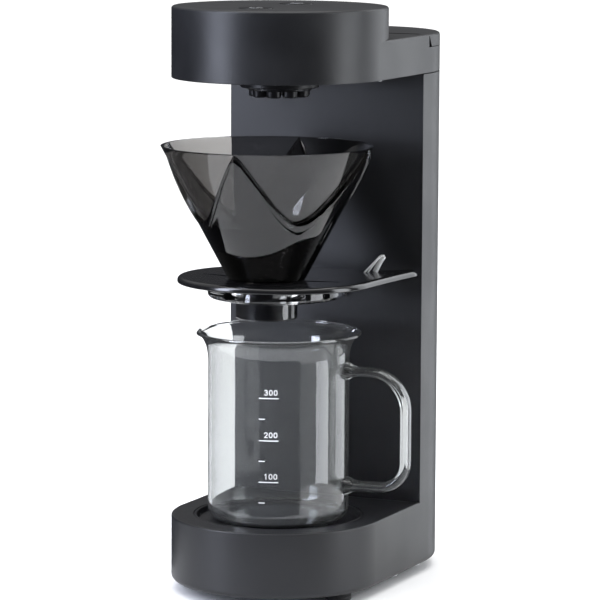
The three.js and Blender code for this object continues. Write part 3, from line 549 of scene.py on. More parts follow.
class BREWER_OT_casing(BrewerOperator):
    """Foot and column in one moulding, open below and above"""
    bl_idname = "brewer.casing"
    bl_label = "Foot and column"

    def make(self, sizes):
        wall = sizes.shell_wall
        deck = prism("main_casing_skin", stadium, BASE_BOTTOM, DECK_TOP, sizes.foot_round, sizes.deck_edge, 8)
        column = prism("column", lambda inset: rear_plan(COLUMN_FRONT_Y, inset), DECK_TOP - wall, CASING_HIGH.z)
        join(deck, column)
        seat = (AXIS_X, AXIS_Y, (SEAT_HIGH.x - SEAT_LOW.x) / 2 - 2.7 * MM)
        cut(deck,
            prism("foot_room", lambda inset: stadium(wall), BASE_BOTTOM - MM, DECK_TOP - wall),
            prism("column_room", lambda inset: rear_plan(COLUMN_FRONT_Y + wall, wall),
                  DECK_TOP - 2 * wall, CASING_HIGH.z + MM),
            prism("seat_room", lambda inset: circle(*seat, 144), DECK_TOP - 2 * wall, DECK_TOP + MM))
        self.cut_bolt_ways(deck, wall)
        soften(deck, sizes.casing_edge, 3, 50)
        settle(deck, "machine", "body_satin_black", finish("satin_black"), "main_casing")

    def cut_bolt_ways(self, deck, wall):
        """Holes for the two holder screws and for the cable gland."""
        for i in (1, 2):
            x, _, z = node_middle(f"holder_screw_{i}")
            start, end = (x, COLUMN_FRONT_Y - wall, z), (x, COLUMN_FRONT_Y + 2 * wall, z)
            cut(deck, cross_rod("screw_way", "Y", SCREW_WAY, start, end, 24))
        low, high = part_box("cable_gland")
        x, _, z = node_middle("cable_gland")
        radius = (high.x - low.x) / 2 + CLEARANCE
        cut(deck, cross_rod("gland_way", "Y", radius, (x, REAR_Y, z), (x, high.y + MM, z)))


class BREWER_OT_feet(BrewerOperator):
    """Four rubber feet with a ring groove, and the plate under the foot"""
    bl_idname = "brewer.feet"
    bl_label = "Rubber feet"

    def make(self, sizes):
        for i in range(1, 5):
            low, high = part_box(f"foot_{i}")
            radius, top = (high.x - low.x) / 2, high.z
            profile = [(0, 0.5 * MM), (radius - 3 * MM, 0.5 * MM), (radius - 2.6 * MM, 0)]
            profile += corner(1 * MM, radius - 1 * MM, 1 * MM, -90, 0)
            profile += [(radius, 2.6 * MM), (radius - 0.4 * MM, 2.9 * MM), (radius - 0.4 * MM, 3.4 * MM),
                        (radius, 3.7 * MM), (radius, top), (0, top)]
            foot = turned(f"rubber_foot_{i}", profile, *node_middle(f"foot_{i}")[:2], 48)
            settle(shade(foot), "machine", "rubber", finish("rubber"), f"foot_{i}")
        repaint("base_plate", finish("deep_black"))


class BREWER_OT_seat(BrewerOperator):
    """Recess that the beaker stands in, with a raised ring round a flat floor"""
    bl_idname = "brewer.seat"
    bl_label = "Beaker seat"

    def make(self, sizes):
        outer = (SEAT_HIGH.x - SEAT_LOW.x) / 2
        lip = outer - 3 * MM
        floor = BEAKER_LOW.z - CLEARANCE
        under = DECK_TOP - sizes.shell_wall - CLEARANCE
        profile = [(0, SEAT_LOW.z), (outer, SEAT_LOW.z), (outer, under), (lip, under)]
        profile += corner(0.6 * MM, lip - 0.6 * MM, DECK_TOP - 0.6 * MM, 0, 90)
        profile += corner(0.5 * MM, lip - 1.2 * MM, DECK_TOP - 0.7 * MM, 110, 150)
        profile += corner(0.7 * MM, lip - 3.2 * MM, floor + 0.7 * MM, -15, -90)
        profile += [(lip - 7 * MM, floor), (lip - 7.3 * MM, floor - 0.25 * MM), (0, floor - 0.25 * MM)]
        seat = turned("beaker_seat_skin", profile, AXIS_X, AXIS_Y, 144)
        settle(shade(seat, 50), "machine", "body_dark", finish("satin_black"), "beaker_seat")


class BREWER_OT_head(BrewerOperator):
    """Flat head with the round cap over its front, the hinge lugs and the hinge groove"""
    bl_idname = "brewer.head"
    bl_label = "Head and cap"

    def make(self, sizes):
        wall = sizes.shell_wall
        head = prism("head_shell_skin", stadium, HEAD_BOTTOM, FLAT_TOP, 0.5 * MM, sizes.head_edge, 8)
        cap = prism("cap", lambda inset: circle(AXIS_X, AXIS_Y, BODY_RADIUS - inset, 144),
                    HEAD_BOTTOM, CAP_TOP, 0.5 * MM, sizes.head_edge, 8)
        join(head, cap)
        lid_front, lid_bottom = LID_FRONT_Y - CLEARANCE, LID_LOW.z - CLEARANCE
        cut(head,
            block("lid_room", (AXIS_X - 0.08, lid_front, lid_bottom), (AXIS_X + 0.08, 0.2, 0.4)),
            block("groove", (AXIS_X - BODY_RADIUS + 2 * wall, GROOVE_FRONT_Y, lid_bottom),
                  (AXIS_X + BODY_RADIUS - 2 * wall, 0.2, 0.4)),
            prism("head_room", lambda inset: stadium(wall), HEAD_BOTTOM - MM, FLAT_TOP - wall),
            prism("cap_room", lambda inset: circle(AXIS_X, AXIS_Y, BODY_RADIUS - wall, 144),
                  HEAD_BOTTOM - MM, CAP_TOP - wall),
            prism("tank_mouth", lambda inset: rear_plan(GROOVE_FRONT_Y + 2 * wall, wall),
                  FLAT_TOP - 2 * wall, FLAT_TOP + MM))
        for key in ("start_key", "cup_key"):
            x, y, radius = key_place(key)
            cut(head, prism("key_way", lambda inset: circle(x, y, radius + 0.4 * MM, 64),
                            CAP_TOP - 2 * wall, CAP_TOP + MM))
        for side in (-1, 1):
            inner, outer = side * 11.7 * MM, side * 4 * MM
            ends = sorted((AXIS_X + inner, AXIS_X + outer))
            join(head, cross_rod("lug", "X", KNUCKLE_RADIUS, (ends[0], PIN_Y, PIN_Z), (ends[1], PIN_Y, PIN_Z)))
            join(head, block("lug_web", (ends[0], GROOVE_FRONT_Y - MM, FLAT_TOP - wall), (ends[1], PIN_Y, PIN_Z)))
            cut(head, cross_rod("lug_bore", "X", PIN_BORE,
                                (ends[0] - MM, PIN_Y, PIN_Z), (ends[1] + MM, PIN_Y, PIN_Z)))
        soften(head, 0.35 * MM, 2, 50)
        settle(head, "machine", "body_satin_black", finish("satin_black"), "head_shell")
        repaint("head_cover", finish("satin_black"))


class BREWER_OT_lid(BrewerOperator):
    """Tank lid with slanted front corners and its two hinge knuckles"""
    bl_idname = "brewer.lid"
    bl_label = "Tank lid"

    def make(self, sizes):
        wall = sizes.shell_wall
        lid = prism("tank_lid_skin", lambda inset: rear_plan(LID_FRONT_Y, inset),
                    LID_LOW.z, FLAT_TOP, 0.0, sizes.head_edge, 8)
        cut(lid, prism("lid_room", lambda inset: rear_plan(LID_FRONT_Y + wall, wall),
                       LID_LOW.z - MM, FLAT_TOP - wall))
        for side in (-1, 1):
            x = AXIS_X + side * BODY_RADIUS
            corners = [(LID_FRONT_Y - MM, LID_LOW.z - MM), (LID_FRONT_Y + 4 * MM, LID_LOW.z - MM),
                       (LID_FRONT_Y + 0.3 * MM, FLAT_TOP - MM), (LID_FRONT_Y - MM, FLAT_TOP - MM)]
            rings = [[(x + reach, y, z) for y, z in corners] for reach in (-wall, wall)]
            cut(lid, loft("slant", rings))
            ends = sorted((AXIS_X + side * 12 * MM, AXIS_X + side * 20 * MM))
            join(lid, cross_rod("knuckle", "X", KNUCKLE_RADIUS, (ends[0], PIN_Y, PIN_Z), (ends[1], PIN_Y, PIN_Z)))
            join(lid, block("knuckle_web", (ends[0], PIN_Y, FLAT_TOP - MM),
                            (ends[1], LID_FRONT_Y + wall, PIN_Z)))
            cut(lid, cross_rod("knuckle_bore", "X", PIN_BORE,
                               (ends[0] - MM, PIN_Y, PIN_Z), (ends[1] + MM, PIN_Y, PIN_Z)))
        soften(lid, 0.35 * MM, 2, 50)
        split_wide_faces(lid)
        settle(lid, "lid", "body_satin_black", finish("satin_black"), "tank_lid")
        repaint("lid_seal", finish("silicone"))
        repaint("lid_hinge_pin", finish("steel"))


KEY_FLANGE = 2 * MM


def key_place(node):
    """Middle of a key and the radius of its button, which is smaller than its flange."""
    low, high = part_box(node)
    return (*node_middle(node)[:2], (high.x - low.x) / 2 - KEY_FLANGE)


class BREWER_OT_keys(BrewerOperator):
    """Power key and cup key, each dished with a raised symbol"""
    bl_idname = "brewer.keys"
    bl_label = "Keys"

    def make(self, sizes):
        stroke = 0.7 * MM
        for node, body in (("start_key", "start_button"), ("cup_key", "cup_button")):
            low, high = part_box(node)
            x, y, radius = key_place(node)
            flange, under = radius + KEY_FLANGE, CAP_TOP - sizes.shell_wall - 0.8 * MM
            profile = [(0, low.z), (flange, low.z), (flange, under), (radius, under)]
            profile += corner(0.5 * MM, radius - 0.5 * MM, high.z - 0.5 * MM, 0, 90)
            profile += [(radius - 1 * MM, high.z - 0.05 * MM), (radius * 0.5, high.z - 0.25 * MM),
                        (0, high.z - 0.3 * MM)]
            key = turned(f"{node}_button", profile, x, y, 72)
            settle(shade(key, 50), body, "body_dark", finish("deep_black"), node)
            base = high.z - 0.4 * MM
            if node == "start_key":
                ring = [(x + 3.2 * MM * math.sin(t), y + 3.2 * MM * math.cos(t))
                        for t in (math.radians(40 + 280 * i / 32) for i in range(33))]
                strokes = [ring, [(x, y + 1.2 * MM), (x, y + 4.4 * MM)]]
            else:
                cup = [(x - 3 * MM, y + 2.4 * MM), (x - 2.4 * MM, y - 2.4 * MM),
                       (x + 1.4 * MM, y - 2.4 * MM), (x + 2 * MM, y + 2.4 * MM), (x - 3 * MM, y + 2.4 * MM)]
                loop = [(x + 1.9 * MM + 2 * MM * math.sin(t), y + 0.3 * MM + 1.5 * MM * math.cos(t))
                        for t in (math.pi * i / 12 for i in range(13))]
                strokes = [cup, loop]
            symbol = strips(f"{node}_symbol", strokes, stroke,
                            lambda u, v, lift: (u, v, base + lift), 0.35 * MM)
            settle(symbol, body, "body_dark", finish("key_print"))


def strips(name, strokes, width, place, thickness):
    """Thin raised lines; place(u, v, lift) puts a flat point on its surface."""
    bm = bmesh.new()
    for stroke in strokes:
        closed = (Vector(stroke[0]) - Vector(stroke[-1])).length < 1e-9
        points = [Vector(p) for p in (stroke[:-1] if closed else stroke)]
        count = len(points)
        rings = []
        for i, point in enumerate(points):
            before = points[i - 1] if closed or i else point
            after = points[(i + 1) % count] if closed or i < count - 1 else point
            into = (point - before).normalized() if point != before else (after - point).normalized()
            out = (after - point).normalized() if after != point else into
            along = (into + out).normalized()
            across = Vector((-along.y, along.x)) * width / 2 / max(0.5, along.dot(out))
            if not closed and i in (0, count - 1):
                point = point + along * width / 2 * (1 if i else -1)
            left, right = point + across, point - across
            rings.append([bm.verts.new(place(left.x, left.y, 0)), bm.verts.new(place(right.x, right.y, 0)),
                          bm.verts.new(place(right.x, right.y, thickness)),
                          bm.verts.new(place(left.x, left.y, thickness))])
        skin(bm, rings, closed)
    return mesh_from(bm, name)


class BREWER_OT_spray_head(BrewerOperator):
    """Spray head with nine rounded nozzles under a stepped flange"""
    bl_idname = "brewer.spray_head"
    bl_label = "Spray head"
    nozzles = 9
    nozzle_ring = 12.8 * MM

    def make(self, sizes):
        radius = (SPRAY_HIGH.x - SPRAY_LOW.x) / 2
        top = HEAD_BOTTOM - CLEARANCE
        flange = top - 6 * MM
        profile = [(0, flange - 0.4 * MM), (17 * MM, flange - 0.4 * MM), (17.6 * MM, flange + 0.2 * MM),
                   (17.6 * MM, flange + 1.0 * MM)]
        profile += corner(0.8 * MM, radius - 0.8 * MM, flange + 1.8 * MM, -90, 0)
        profile += [(radius, top), (15 * MM, top), (15 * MM, SPRAY_HIGH.z), (0, SPRAY_HIGH.z)]
        body = turned("spray_head_skin", profile, AXIS_X, AXIS_Y, 96)
        drop = SPRAY_LOW.z
        for place in circle(AXIS_X, AXIS_Y, self.nozzle_ring, self.nozzles):
            shape = [(0, drop + 1.4 * MM), (1.3 * MM, drop + 1.2 * MM), (1.6 * MM, drop + 0.2 * MM)]
            shape += corner(0.9 * MM, 3.1 * MM, drop + 0.9 * MM, -90, 0)
            shape += [(4.4 * MM, flange + 3 * MM), (0, flange + 3 * MM)]
            join(body, turned("nozzle", shape, *place, 32))
        soften(body, 0.25 * MM, 2, 45)
        settle(body, "machine", "body_dark", finish("deep_black"), "spray_head")


class BREWER_OT_holder(BrewerOperator):
    """Clear ring and arm that carry the dripper, screwed to the column"""
    bl_idname = "brewer.holder"
    bl_label = "Dripper holder"
    thickness = 7.2 * MM
    arm_half = 14 * MM

    def make(self, sizes):
        radius = (HOLDER_HIGH.x - HOLDER_LOW.x) / 2
        top = BRIM_LOW.z - CLEARANCE
        bottom = top - self.thickness
        ring_y = HOLDER_LOW.y + radius
        left, right = AXIS_X - self.arm_half, AXIS_X + self.arm_half
        ring = prism("dripper_holder_skin", lambda inset: circle(AXIS_X, ring_y, radius - inset, 160),
                     bottom, top, 2.6 * MM, 1.2 * MM, 8)
        join(ring,
             block("arm", (left, ring_y + radius - 8 * MM, bottom), (right, HOLDER_HIGH.y, top)),
             block("flange", (left, HOLDER_HIGH.y - 2.5 * MM, HOLDER_LOW.z), (right, HOLDER_HIGH.y, top)))
        opening = (COLLAR_HIGH.x - COLLAR_LOW.x) / 2 + 1 * MM
        cut(ring, prism("opening", lambda inset: circle(CONE_X, CONE_Y, opening, 128), bottom - MM, top + MM))
        for i in (1, 2):
            x, _, z = node_middle(f"holder_screw_{i}")
            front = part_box(f"holder_screw_{i}")[0].y
            cut(ring, cross_rod("screw_way", "Y", SCREW_WAY, (x, front, z), (x, HOLDER_HIGH.y + MM, z), 32))
            repaint(f"holder_screw_{i}", finish("steel"))
        soften(ring, 0.6 * MM, 3, 50)
        split_wide_faces(ring)
        settle(ring, "machine", "clear_plastic", finish("clear_plastic"), "dripper_holder")


class BREWER_OT_cone(BrewerOperator):
    """Smoke cone with four pointed arches, thicker below them"""
    bl_idname = "brewer.cone"
    bl_label = "Cone"
    rim_radius = (CONE_HIGH.x - CONE_LOW.x) / 2
    slope = 0.535
    arch_turn = math.radians(7)
    arch_foot = 0.46
    sump_rise = 30.1 * MM
    sump_wall = 4.8 * MM
    rib = 1.0 * MM

    def thin(self, z):
        return self.rim_radius - 0.4 * MM - self.slope * (CONE_HIGH.z - z)

    def thick(self, z, band):
        return min(self.thin(z) + band, self.rim_radius)

    def wave(self, angle):
        """Height of the arches' edge and the share of the way from its lowest point to an arch's tip."""
        quarter = math.pi / 2
        lowest = self.arch_turn + quarter / 2
        share = ((angle - lowest + quarter / 2) % quarter) / (quarter / 2) - 1
        height = CONE_HIGH.z - BRIM_HIGH.z
        low = BRIM_HIGH.z + self.arch_foot * height
        top = CONE_HIGH.z - 0.5 * MM
        return low + (top - low) * abs(share) ** 1.9, abs(share)

    def column(self, angle, sizes):
        """Points (radius, height) of the wall at one angle, from the rim outside round to the rim inside."""
        rim, foot = CONE_HIGH.z, CONE_LOW.z
        edge, share = self.wave(angle)
        band = sizes.cone_band
        ledge = (5.4 - 2.2 * share) * MM
        rib = min(self.rib * (1 - 0.25 * share), self.rim_radius - 0.1 * MM - self.thick(edge, band))
        points = [(self.thin(rim) - 0.35 * MM, rim), (self.thin(rim) - 0.05 * MM, rim - 0.12 * MM)]
        points += [(self.thin(z), z) for z in spaced(rim - 0.35 * MM, edge, 14)]
        for step, smooth, proud in ((0.03, 0.12, 0), (0.08, 0.8, 0.4), (0.14, 1.0, 0.85), (0.25, 1.0, 1.0),
                                    (0.75, 1.0, 1.0), (0.87, 1.0, 0.8), (0.94, 1.0, 0.2), (1.0, 1.0, 0)):
            z = edge - ledge * step
            points.append((self.thin(z) + (self.thick(z, band) - self.thin(z)) * smooth + rib * proud, z))
        points += [(self.thick(z, band), z) for z in spaced(edge - ledge, foot + 0.6 * MM, 18)[1:]]
        points += [(self.thick(foot, band) - 0.2 * MM, foot + 0.15 * MM), (self.thick(foot, band) - 0.6 * MM, foot)]
        points += [(self.thin(foot) - self.sump_wall + 0.5 * MM, foot)]
        sump = foot + self.sump_rise
        points += [(self.thin(z) - self.sump_wall, z) for z in spaced(foot + 0.5 * MM, sump - 3 * MM, 6)]
        for step in (0.15, 0.5, 0.85, 1.0):
            z = sump - 3 * MM + 4 * MM * step
            smooth = step * step * (3 - 2 * step)
            points.append((self.thin(z) - self.sump_wall + (self.sump_wall - sizes.cone_wall) * smooth, z))
        points += [(self.thin(z) - sizes.cone_wall, z) for z in spaced(sump + 2 * MM, rim - 0.35 * MM, 14)]
        points += [(self.thin(rim) - sizes.cone_wall + 0.35 * MM, rim)]
        return points

    def make(self, sizes):
        steps = 256
        rings = []
        for i in range(steps):
            angle = FULL_TURN * i / steps
            across, along = math.sin(angle), -math.cos(angle)
            rings.append([(CONE_X + r * across, CONE_Y + r * along, z) for r, z in self.column(angle, sizes)])
        cone = loft("dripper_cone_skin", rings, wrap=True)
        settle(shade(cone, 60), "dripper", "smoke_plastic", finish("smoke"), "dripper_cone")


def spaced(start, end, count):
    return [start + (end - start) * i / (count - 1) for i in range(count)]


def curve_points(start, middle, end, steps):
    """Points on a quadratic curve, without its first point."""
    points = []
    for i in range(1, steps + 1):
        t = i / steps
        points.append(tuple((1 - t) ** 2 * a + 2 * t * (1 - t) * b + t * t * c
                            for a, b, c in zip(start, middle, end)))
    return points


class BREWER_OT_brim(BrewerOperator):
    """Black brim of the dripper with its tail and two slots, and the clear grip that stands on it"""
    bl_idname = "brewer.brim"
    bl_label = "Brim and grip"

    def outline(self):
        middle_y, half_x, half_y = BRIM_LOW.y + 50 * MM, 55 * MM, 50 * MM
        tip_x, tip_y = BRIM_HIGH.x, BRIM_HIGH.y
        start = math.radians(62)
        turns = [start + (FULL_TURN - start) * i / 150 for i in range(151)]
        points = [(AXIS_X + half_x * math.cos(t), middle_y + half_y * math.sin(t)) for t in turns]
        side = (tip_x, tip_y - 8 * MM)
        points += curve_points(points[-1], (AXIS_X + half_x + 1 * MM, tip_y - 34 * MM), side, 24)
        tip = (tip_x - 4 * MM, tip_y - 0.6 * MM)
        points += curve_points(side, (tip_x + 0.2 * MM, tip_y + 0.8 * MM), tip, 10)
        points += curve_points(tip, (tip_x - 14 * MM, tip_y - 11 * MM), points[0], 24)[:-1]
        return points

    def make(self, sizes):
        brim = flat_sheet("dripper_brim_skin", self.outline(), BRIM_LOW.z, BRIM_HIGH.z, 0.8 * MM, 2.2 * MM, 7)
        bore = (SPOUT_HIGH.x - SPOUT_LOW.x) / 2 - 2 * MM
        cut(brim, prism("bore", lambda inset: circle(CONE_X, CONE_Y, bore, 96), BRIM_LOW.z - MM, BRIM_HIGH.z + MM))
        for side in (-1, 1):
            slot = flat_sheet("slot", self.slot_outline(side), BRIM_LOW.z - MM, BRIM_HIGH.z + MM)
            cut(brim, slot)
        soften(brim, 0.25 * MM, 2, 50)
        for vertex in brim.data.vertices:
            rise = (vertex.co.z - BRIM_LOW.z) / (BRIM_HIGH.z - BRIM_LOW.z)
            right = min(1.0, max(0.0, (vertex.co.x - AXIS_X - 40 * MM) / (13 * MM)))
            back = min(1.0, max(0.0, (vertex.co.y - AXIS_Y + 34 * MM) / (34 * MM)))
            vertex.co.x -= 1.2 * MM * rise * right * back
        settle(brim, "dripper", "smoke_plastic", finish("brim_smoke"), "dripper_brim")
        self.grip()

    def slot_outline(self, side):
        start = Vector((AXIS_X + side * 40 * MM, CONE_Y + 5.5 * MM))
        end = Vector((AXIS_X + side * 23.6 * MM, CONE_Y + 1.7 * MM))
        turn = math.atan2((end - start).y, (end - start).x)
        tip = arc(end.x, end.y, 2.1 * MM, turn - math.pi / 2, turn + math.pi / 2, 8)
        tail = arc(start.x, start.y, 0.9 * MM, turn + math.pi / 2, turn + 1.5 * math.pi, 8)
        return tip + tail

    def grip(self):
        """A leaning loop with a thick and a thin leg and a rib between them."""
        middle = Vector((*node_middle("dripper_grip")[:2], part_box("dripper_grip")[0].z))
        turn = math.radians(52)
        along = Vector((math.cos(turn), math.sin(turn), 0))
        across = Vector((-math.sin(turn), math.cos(turn), 0))
        loop = [(0.2, -0.3), (1.7, 2.4), (3.2, 4.9), (4.6, 6.8), (5.3, 7.7), (5.2, 8.2), (4.4, 8.3), (3.0, 7.8),
                (1.2, 6.4), (-1.6, 4.0), (-4.2, 1.8), (-6.5, -0.3)]
        rib = [(-4.2, -0.3), (-2.0, 2.3), (0.4, 4.9), (2.4, 7.3)]
        pieces = []
        for name, path, thick, thin in (("loop", loop, 1.25, 0.45), ("rib", rib, 0.35, 0.35)):
            rings = []
            for i, (reach, rise) in enumerate(path):
                before, after = path[max(0, i - 1)], path[min(len(path) - 1, i + 1)]
                slope = Vector((after[0] - before[0], after[1] - before[1])).normalized()
                lean = along * -slope.y + Vector((0, 0, slope.x))
                radius = thick if i < 5 else thin if i > 7 else thick + (thin - thick) * (i - 4) / 4
                centre = middle + along * reach * MM + Vector((0, 0, rise * MM))
                rings.append([centre + (lean * math.sin(t) + across * 1.6 * math.cos(t)) * radius * MM
                              for t in (FULL_TURN * j / 24 for j in range(24))])
            pieces.append(loft(f"dripper_grip_{name}", rings))
        join(*pieces)
        # The grip's pale, half diffuse plastic is a painted highlight.
        settle(shade(pieces[0], 50), "dripper", "smoke_plastic", finish("painted_highlight_plastic"), "dripper_grip")


class BREWER_OT_outlet(BrewerOperator):
    """Black spout under the brim inside its clear collar"""
    bl_idname = "brewer.outlet"
    bl_label = "Outlet spout and collar"

    def tube(self, name, low, high, wall, slot, material, node):
        radius = (high.x - low.x) / 2
        edge = wall * 0.35
        profile = corner(edge, radius - edge, low.z + edge, -90, 0)
        profile += corner(edge, radius - edge, high.z - edge, 0, 90)
        profile += corner(edge, radius - wall + edge, high.z - edge, 90, 180)
        profile += corner(edge, radius - wall + edge, low.z + edge, 180, 270)
        tube = turned(name, profile, CONE_X, CONE_Y, 128, closed=True)
        settle(shade(tube), "dripper", slot, finish(material), node)

    def make(self, sizes):
        self.tube("dripper_spout_skin", SPOUT_LOW, SPOUT_HIGH, 2 * MM, "body_dark", "deep_black", "dripper_spout")
        wall = (COLLAR_HIGH.x - COLLAR_LOW.x - SPOUT_HIGH.x + SPOUT_LOW.x) / 2 + 0.05 * MM
        self.tube("dripper_collar_skin", COLLAR_LOW, COLLAR_HIGH, wall, "clear_plastic", "clear_plastic",
                  "dripper_collar")


BEAKER_RADIUS = 38.9 * MM
HANDLE_TURN = math.radians(8)


class BREWER_OT_beaker(BrewerOperator):
    """Glass beaker with a flared rim and a pouring beak, its strap handle and its volume marks"""
    bl_idname = "brewer.beaker"
    bl_label = "Beaker"
    flare = 6.6 * MM
    flare_height = 14 * MM

    def flared(self, z):
        share = max(0.0, (z - (BEAKER_HIGH.z - self.flare_height)) / self.flare_height)
        return self.flare * (0.28 * share + 0.72 * share ** 3)

    def profile(self, wall):
        low, top = BEAKER_LOW.z, BEAKER_HIGH.z
        radius, bend = BEAKER_RADIUS, 7 * MM
        start = top - self.flare_height
        points = [(0, low + 0.7 * MM), (radius * 0.55, low + 0.55 * MM), (radius - bend - 2 * MM, low)]
        points += corner(bend, radius - bend, low + bend, -90, 0, 10)
        points += [(radius + self.flared(z), z) for z in spaced(start - 55 * MM, top - 1.6 * MM, 30)]
        points += corner(1.0 * MM, radius + self.flare - 1.0 * MM, top - 1.0 * MM, -20, 190, 10)
        points += [(radius - wall + self.flared(z) * 0.97, z) for z in spaced(top - 2.4 * MM, start - 55 * MM, 26)]
        inner = bend - wall
        points += corner(inner, radius - wall - inner, low + bend, 0, -90, 10)
        points += [(radius * 0.5, low + wall + 0.9 * MM), (0, low + wall + 1.1 * MM)]
        return points

    def make(self, sizes):
        beaker = turned("beaker_body_skin", self.profile(sizes.glass_wall), AXIS_X, AXIS_Y, 192)
        self.pinch_beak(beaker)
        settle(shade(beaker, 60), "beaker", "clear_glass", finish("glass"), "beaker_body")
        self.handle()
        self.marks(sizes)

    def pinch_beak(self, beaker):
        """Pulls the rim opposite the handle outwards and down into a small beak."""
        for vertex in beaker.data.vertices:
            x, y = vertex.co.x - AXIS_X, vertex.co.y - AXIS_Y
            reach = math.hypot(x, y)
            height = (vertex.co.z - (BEAKER_HIGH.z - 16 * MM)) / (16 * MM)
            if height <= 0 or reach < BEAKER_RADIUS * 0.8:
                continue
            angle = math.atan2(y, -x)
            peak = math.exp(-(angle / math.radians(8.5)) ** 2)
            shoulder = math.exp(-(abs(angle) / math.radians(19) - 1) ** 2 * 4)
            pull = (3.1 * peak - 0.7 * shoulder * (1 - peak)) * MM * height ** 2
            grow = (reach + pull) / reach
            vertex.co.x, vertex.co.y = AXIS_X + x * grow, AXIS_Y + y * grow
            vertex.co.z -= 2.8 * MM * peak * height ** 3

    def handle(self):
        """A flat strap bent into a D, flared where it is fused to the wall."""
        low_z, high_z = BEAKER_LOW.z + 20.5 * MM, BEAKER_LOW.z + 84 * MM
        inner = BEAKER_RADIUS + 0.12 * MM
        outer = 72.5 * MM
        bends = (14 * MM, 21 * MM)
        path = [(x, low_z) for x in spaced(inner, outer - bends[0], 10)]
        path += arc(outer - bends[0], low_z + bends[0], bends[0], -math.pi / 2, 0, 14)[1:]
        path += [(outer, z) for z in spaced(low_z + bends[0], high_z - bends[1], 8)][1:]
        path += arc(outer - bends[1], high_z - bends[1], bends[1], 0, math.pi / 2, 16)[1:]
        path += [(x, high_z) for x in spaced(outer - bends[1], inner, 8)][1:]
        lengths = [0.0]
        for first, second in zip(path, path[1:]):
            lengths.append(lengths[-1] + math.dist(first, second))
        rings = []
        for i, (x, z) in enumerate(path):
            before, after = path[max(0, i - 1)], path[min(len(path) - 1, i + 1)]
            along = Vector((after[0] - before[0], after[1] - before[1])).normalized()
            out = Vector((along.y, -along.x))
            near = min(lengths[i], lengths[-1] - lengths[i])
            fused = math.exp(-(near / (3.2 * MM)) ** 2)
            thick = (2.7 + 2.2 * fused) * MM
            broad = (5.0 + 1.2 * fused) * MM
            ring = []
            for j in range(32):
                turn = FULL_TURN * j / 32
                across = math.copysign(abs(math.cos(turn)) ** 0.72, math.cos(turn)) * thick
                side = math.copysign(abs(math.sin(turn)) ** 0.72, math.sin(turn)) * broad
                px, pz = x + out.x * across, z + out.y * across
                if i in (0, len(path) - 1):
                    px = math.sqrt(max(0.0, inner ** 2 - side ** 2))
                cos, sin = math.cos(HANDLE_TURN), math.sin(HANDLE_TURN)
                ring.append((AXIS_X + px * cos - side * sin, AXIS_Y + px * sin + side * cos, pz))
            rings.append(ring)
        strap = loft("beaker_handle_skin", rings)
        settle(shade(strap, 60), "beaker", "clear_glass", finish("glass"), "beaker_handle")

    def marks(self, sizes):
        """Volume marks printed on the wall: three numbered lines and three short ticks."""
        radius = BEAKER_RADIUS + 0.02 * MM
        bottom = BEAKER_LOW.z

        def on_glass(u, v, lift):
            return (AXIS_X + (radius + lift) * math.sin(u / radius),
                    AXIS_Y - (radius + lift) * math.cos(u / radius), bottom + v)

        strokes, numerals = [], []
        for height, hundreds in ((27.0, "1"), (49.8, "2"), (73.0, "3")):
            level = height * MM
            left, right = radius * math.radians(9.4), radius * math.radians(24.4)
            strokes.append([(u, level) for u in spaced(left, right, 12)])
            pen = radius * math.radians(13.4)
            for digit in hundreds + "00":
                numerals += [[(pen + u * 2.1 * MM, level + 1.7 * MM + v * 2.9 * MM) for u, v in line]
                             for line in DIGITS[digit]]
                pen += 2.6 * MM
        for height in (15.6, 38.5, 61.6):
            left, right = radius * math.radians(9.3), radius * math.radians(13.6)
            strokes.append([(u, height * MM) for u in spaced(left, right, 5)])
        for name, lines, width in (("beaker_marks", strokes, sizes.mark_stroke),
                                   ("beaker_numerals", numerals, sizes.mark_stroke * 0.85)):
            settle(strips(name, lines, width, on_glass, 0.06 * MM), "beaker", "clear_glass", finish("print"))


def oval(x, y, half_x, half_y, start, end, steps):
    turns = [math.radians(start + (end - start) * i / steps) for i in range(steps + 1)]
    return [(x + half_x * math.cos(t), y + half_y * math.sin(t)) for t in turns]


DIGITS = {
    "0": [oval(0.45, 0.5, 0.4, 0.46, 0, 360, 24)],
    "1": [[(0.22, 0.78), (0.5, 0.96), (0.5, 0.04)]],
    "2": [oval(0.45, 0.7, 0.36, 0.26, 165, -35, 14) + [(0.1, 0.04), (0.84, 0.04)]],
    "3": [oval(0.42, 0.72, 0.34, 0.24, 150, -80, 14) + oval(0.42, 0.28, 0.38, 0.26, 80, -150, 14)],
}


class BREWER_OT_inner_works(BrewerOperator):
    """Finishes of the tank, pump, heater, boards, hoses and screws, whose shapes the frame holds"""
    bl_idname = "brewer.inner_works"
    bl_label = "Inner works"
    finishes = {
        "clear_plastic": ("water_tank",),
        "silicone": ("riser_hose", "suction_hose", "feed_hose"),
        "white_plastic": ("spray_manifold", "tank_strainer", "check_valve", "pump_impeller", "thermal_fuse"),
        "deep_black": ("pump_housing", "pump_cover"),
        "steel": ("pump_motor", "heater_bracket", "thermostat", "base_screw_1", "base_screw_2",
                  "base_screw_3", "base_screw_4", "head_screw_1", "head_screw_2"),
        "aluminium": ("heater_block",),
        "board": ("control_board", "power_board"),
        "rubber": ("cable_gland",),
    }

    def make(self, sizes):
        for material, nodes in self.finishes.items():
            for node in nodes:
                repaint(node, finish(material))


CAMERA_AZIMUTH = math.radians(24.8728)
CAMERA_HEADING = math.radians(24.531)
CAMERA_PITCH = math.radians(7.80928)
CAMERA_ROLL = math.radians(0.26919)
CAMERA_DISTANCE = 1.926444
CAMERA_HEIGHT = 0.419262
CAMERA_LENS = 212.84


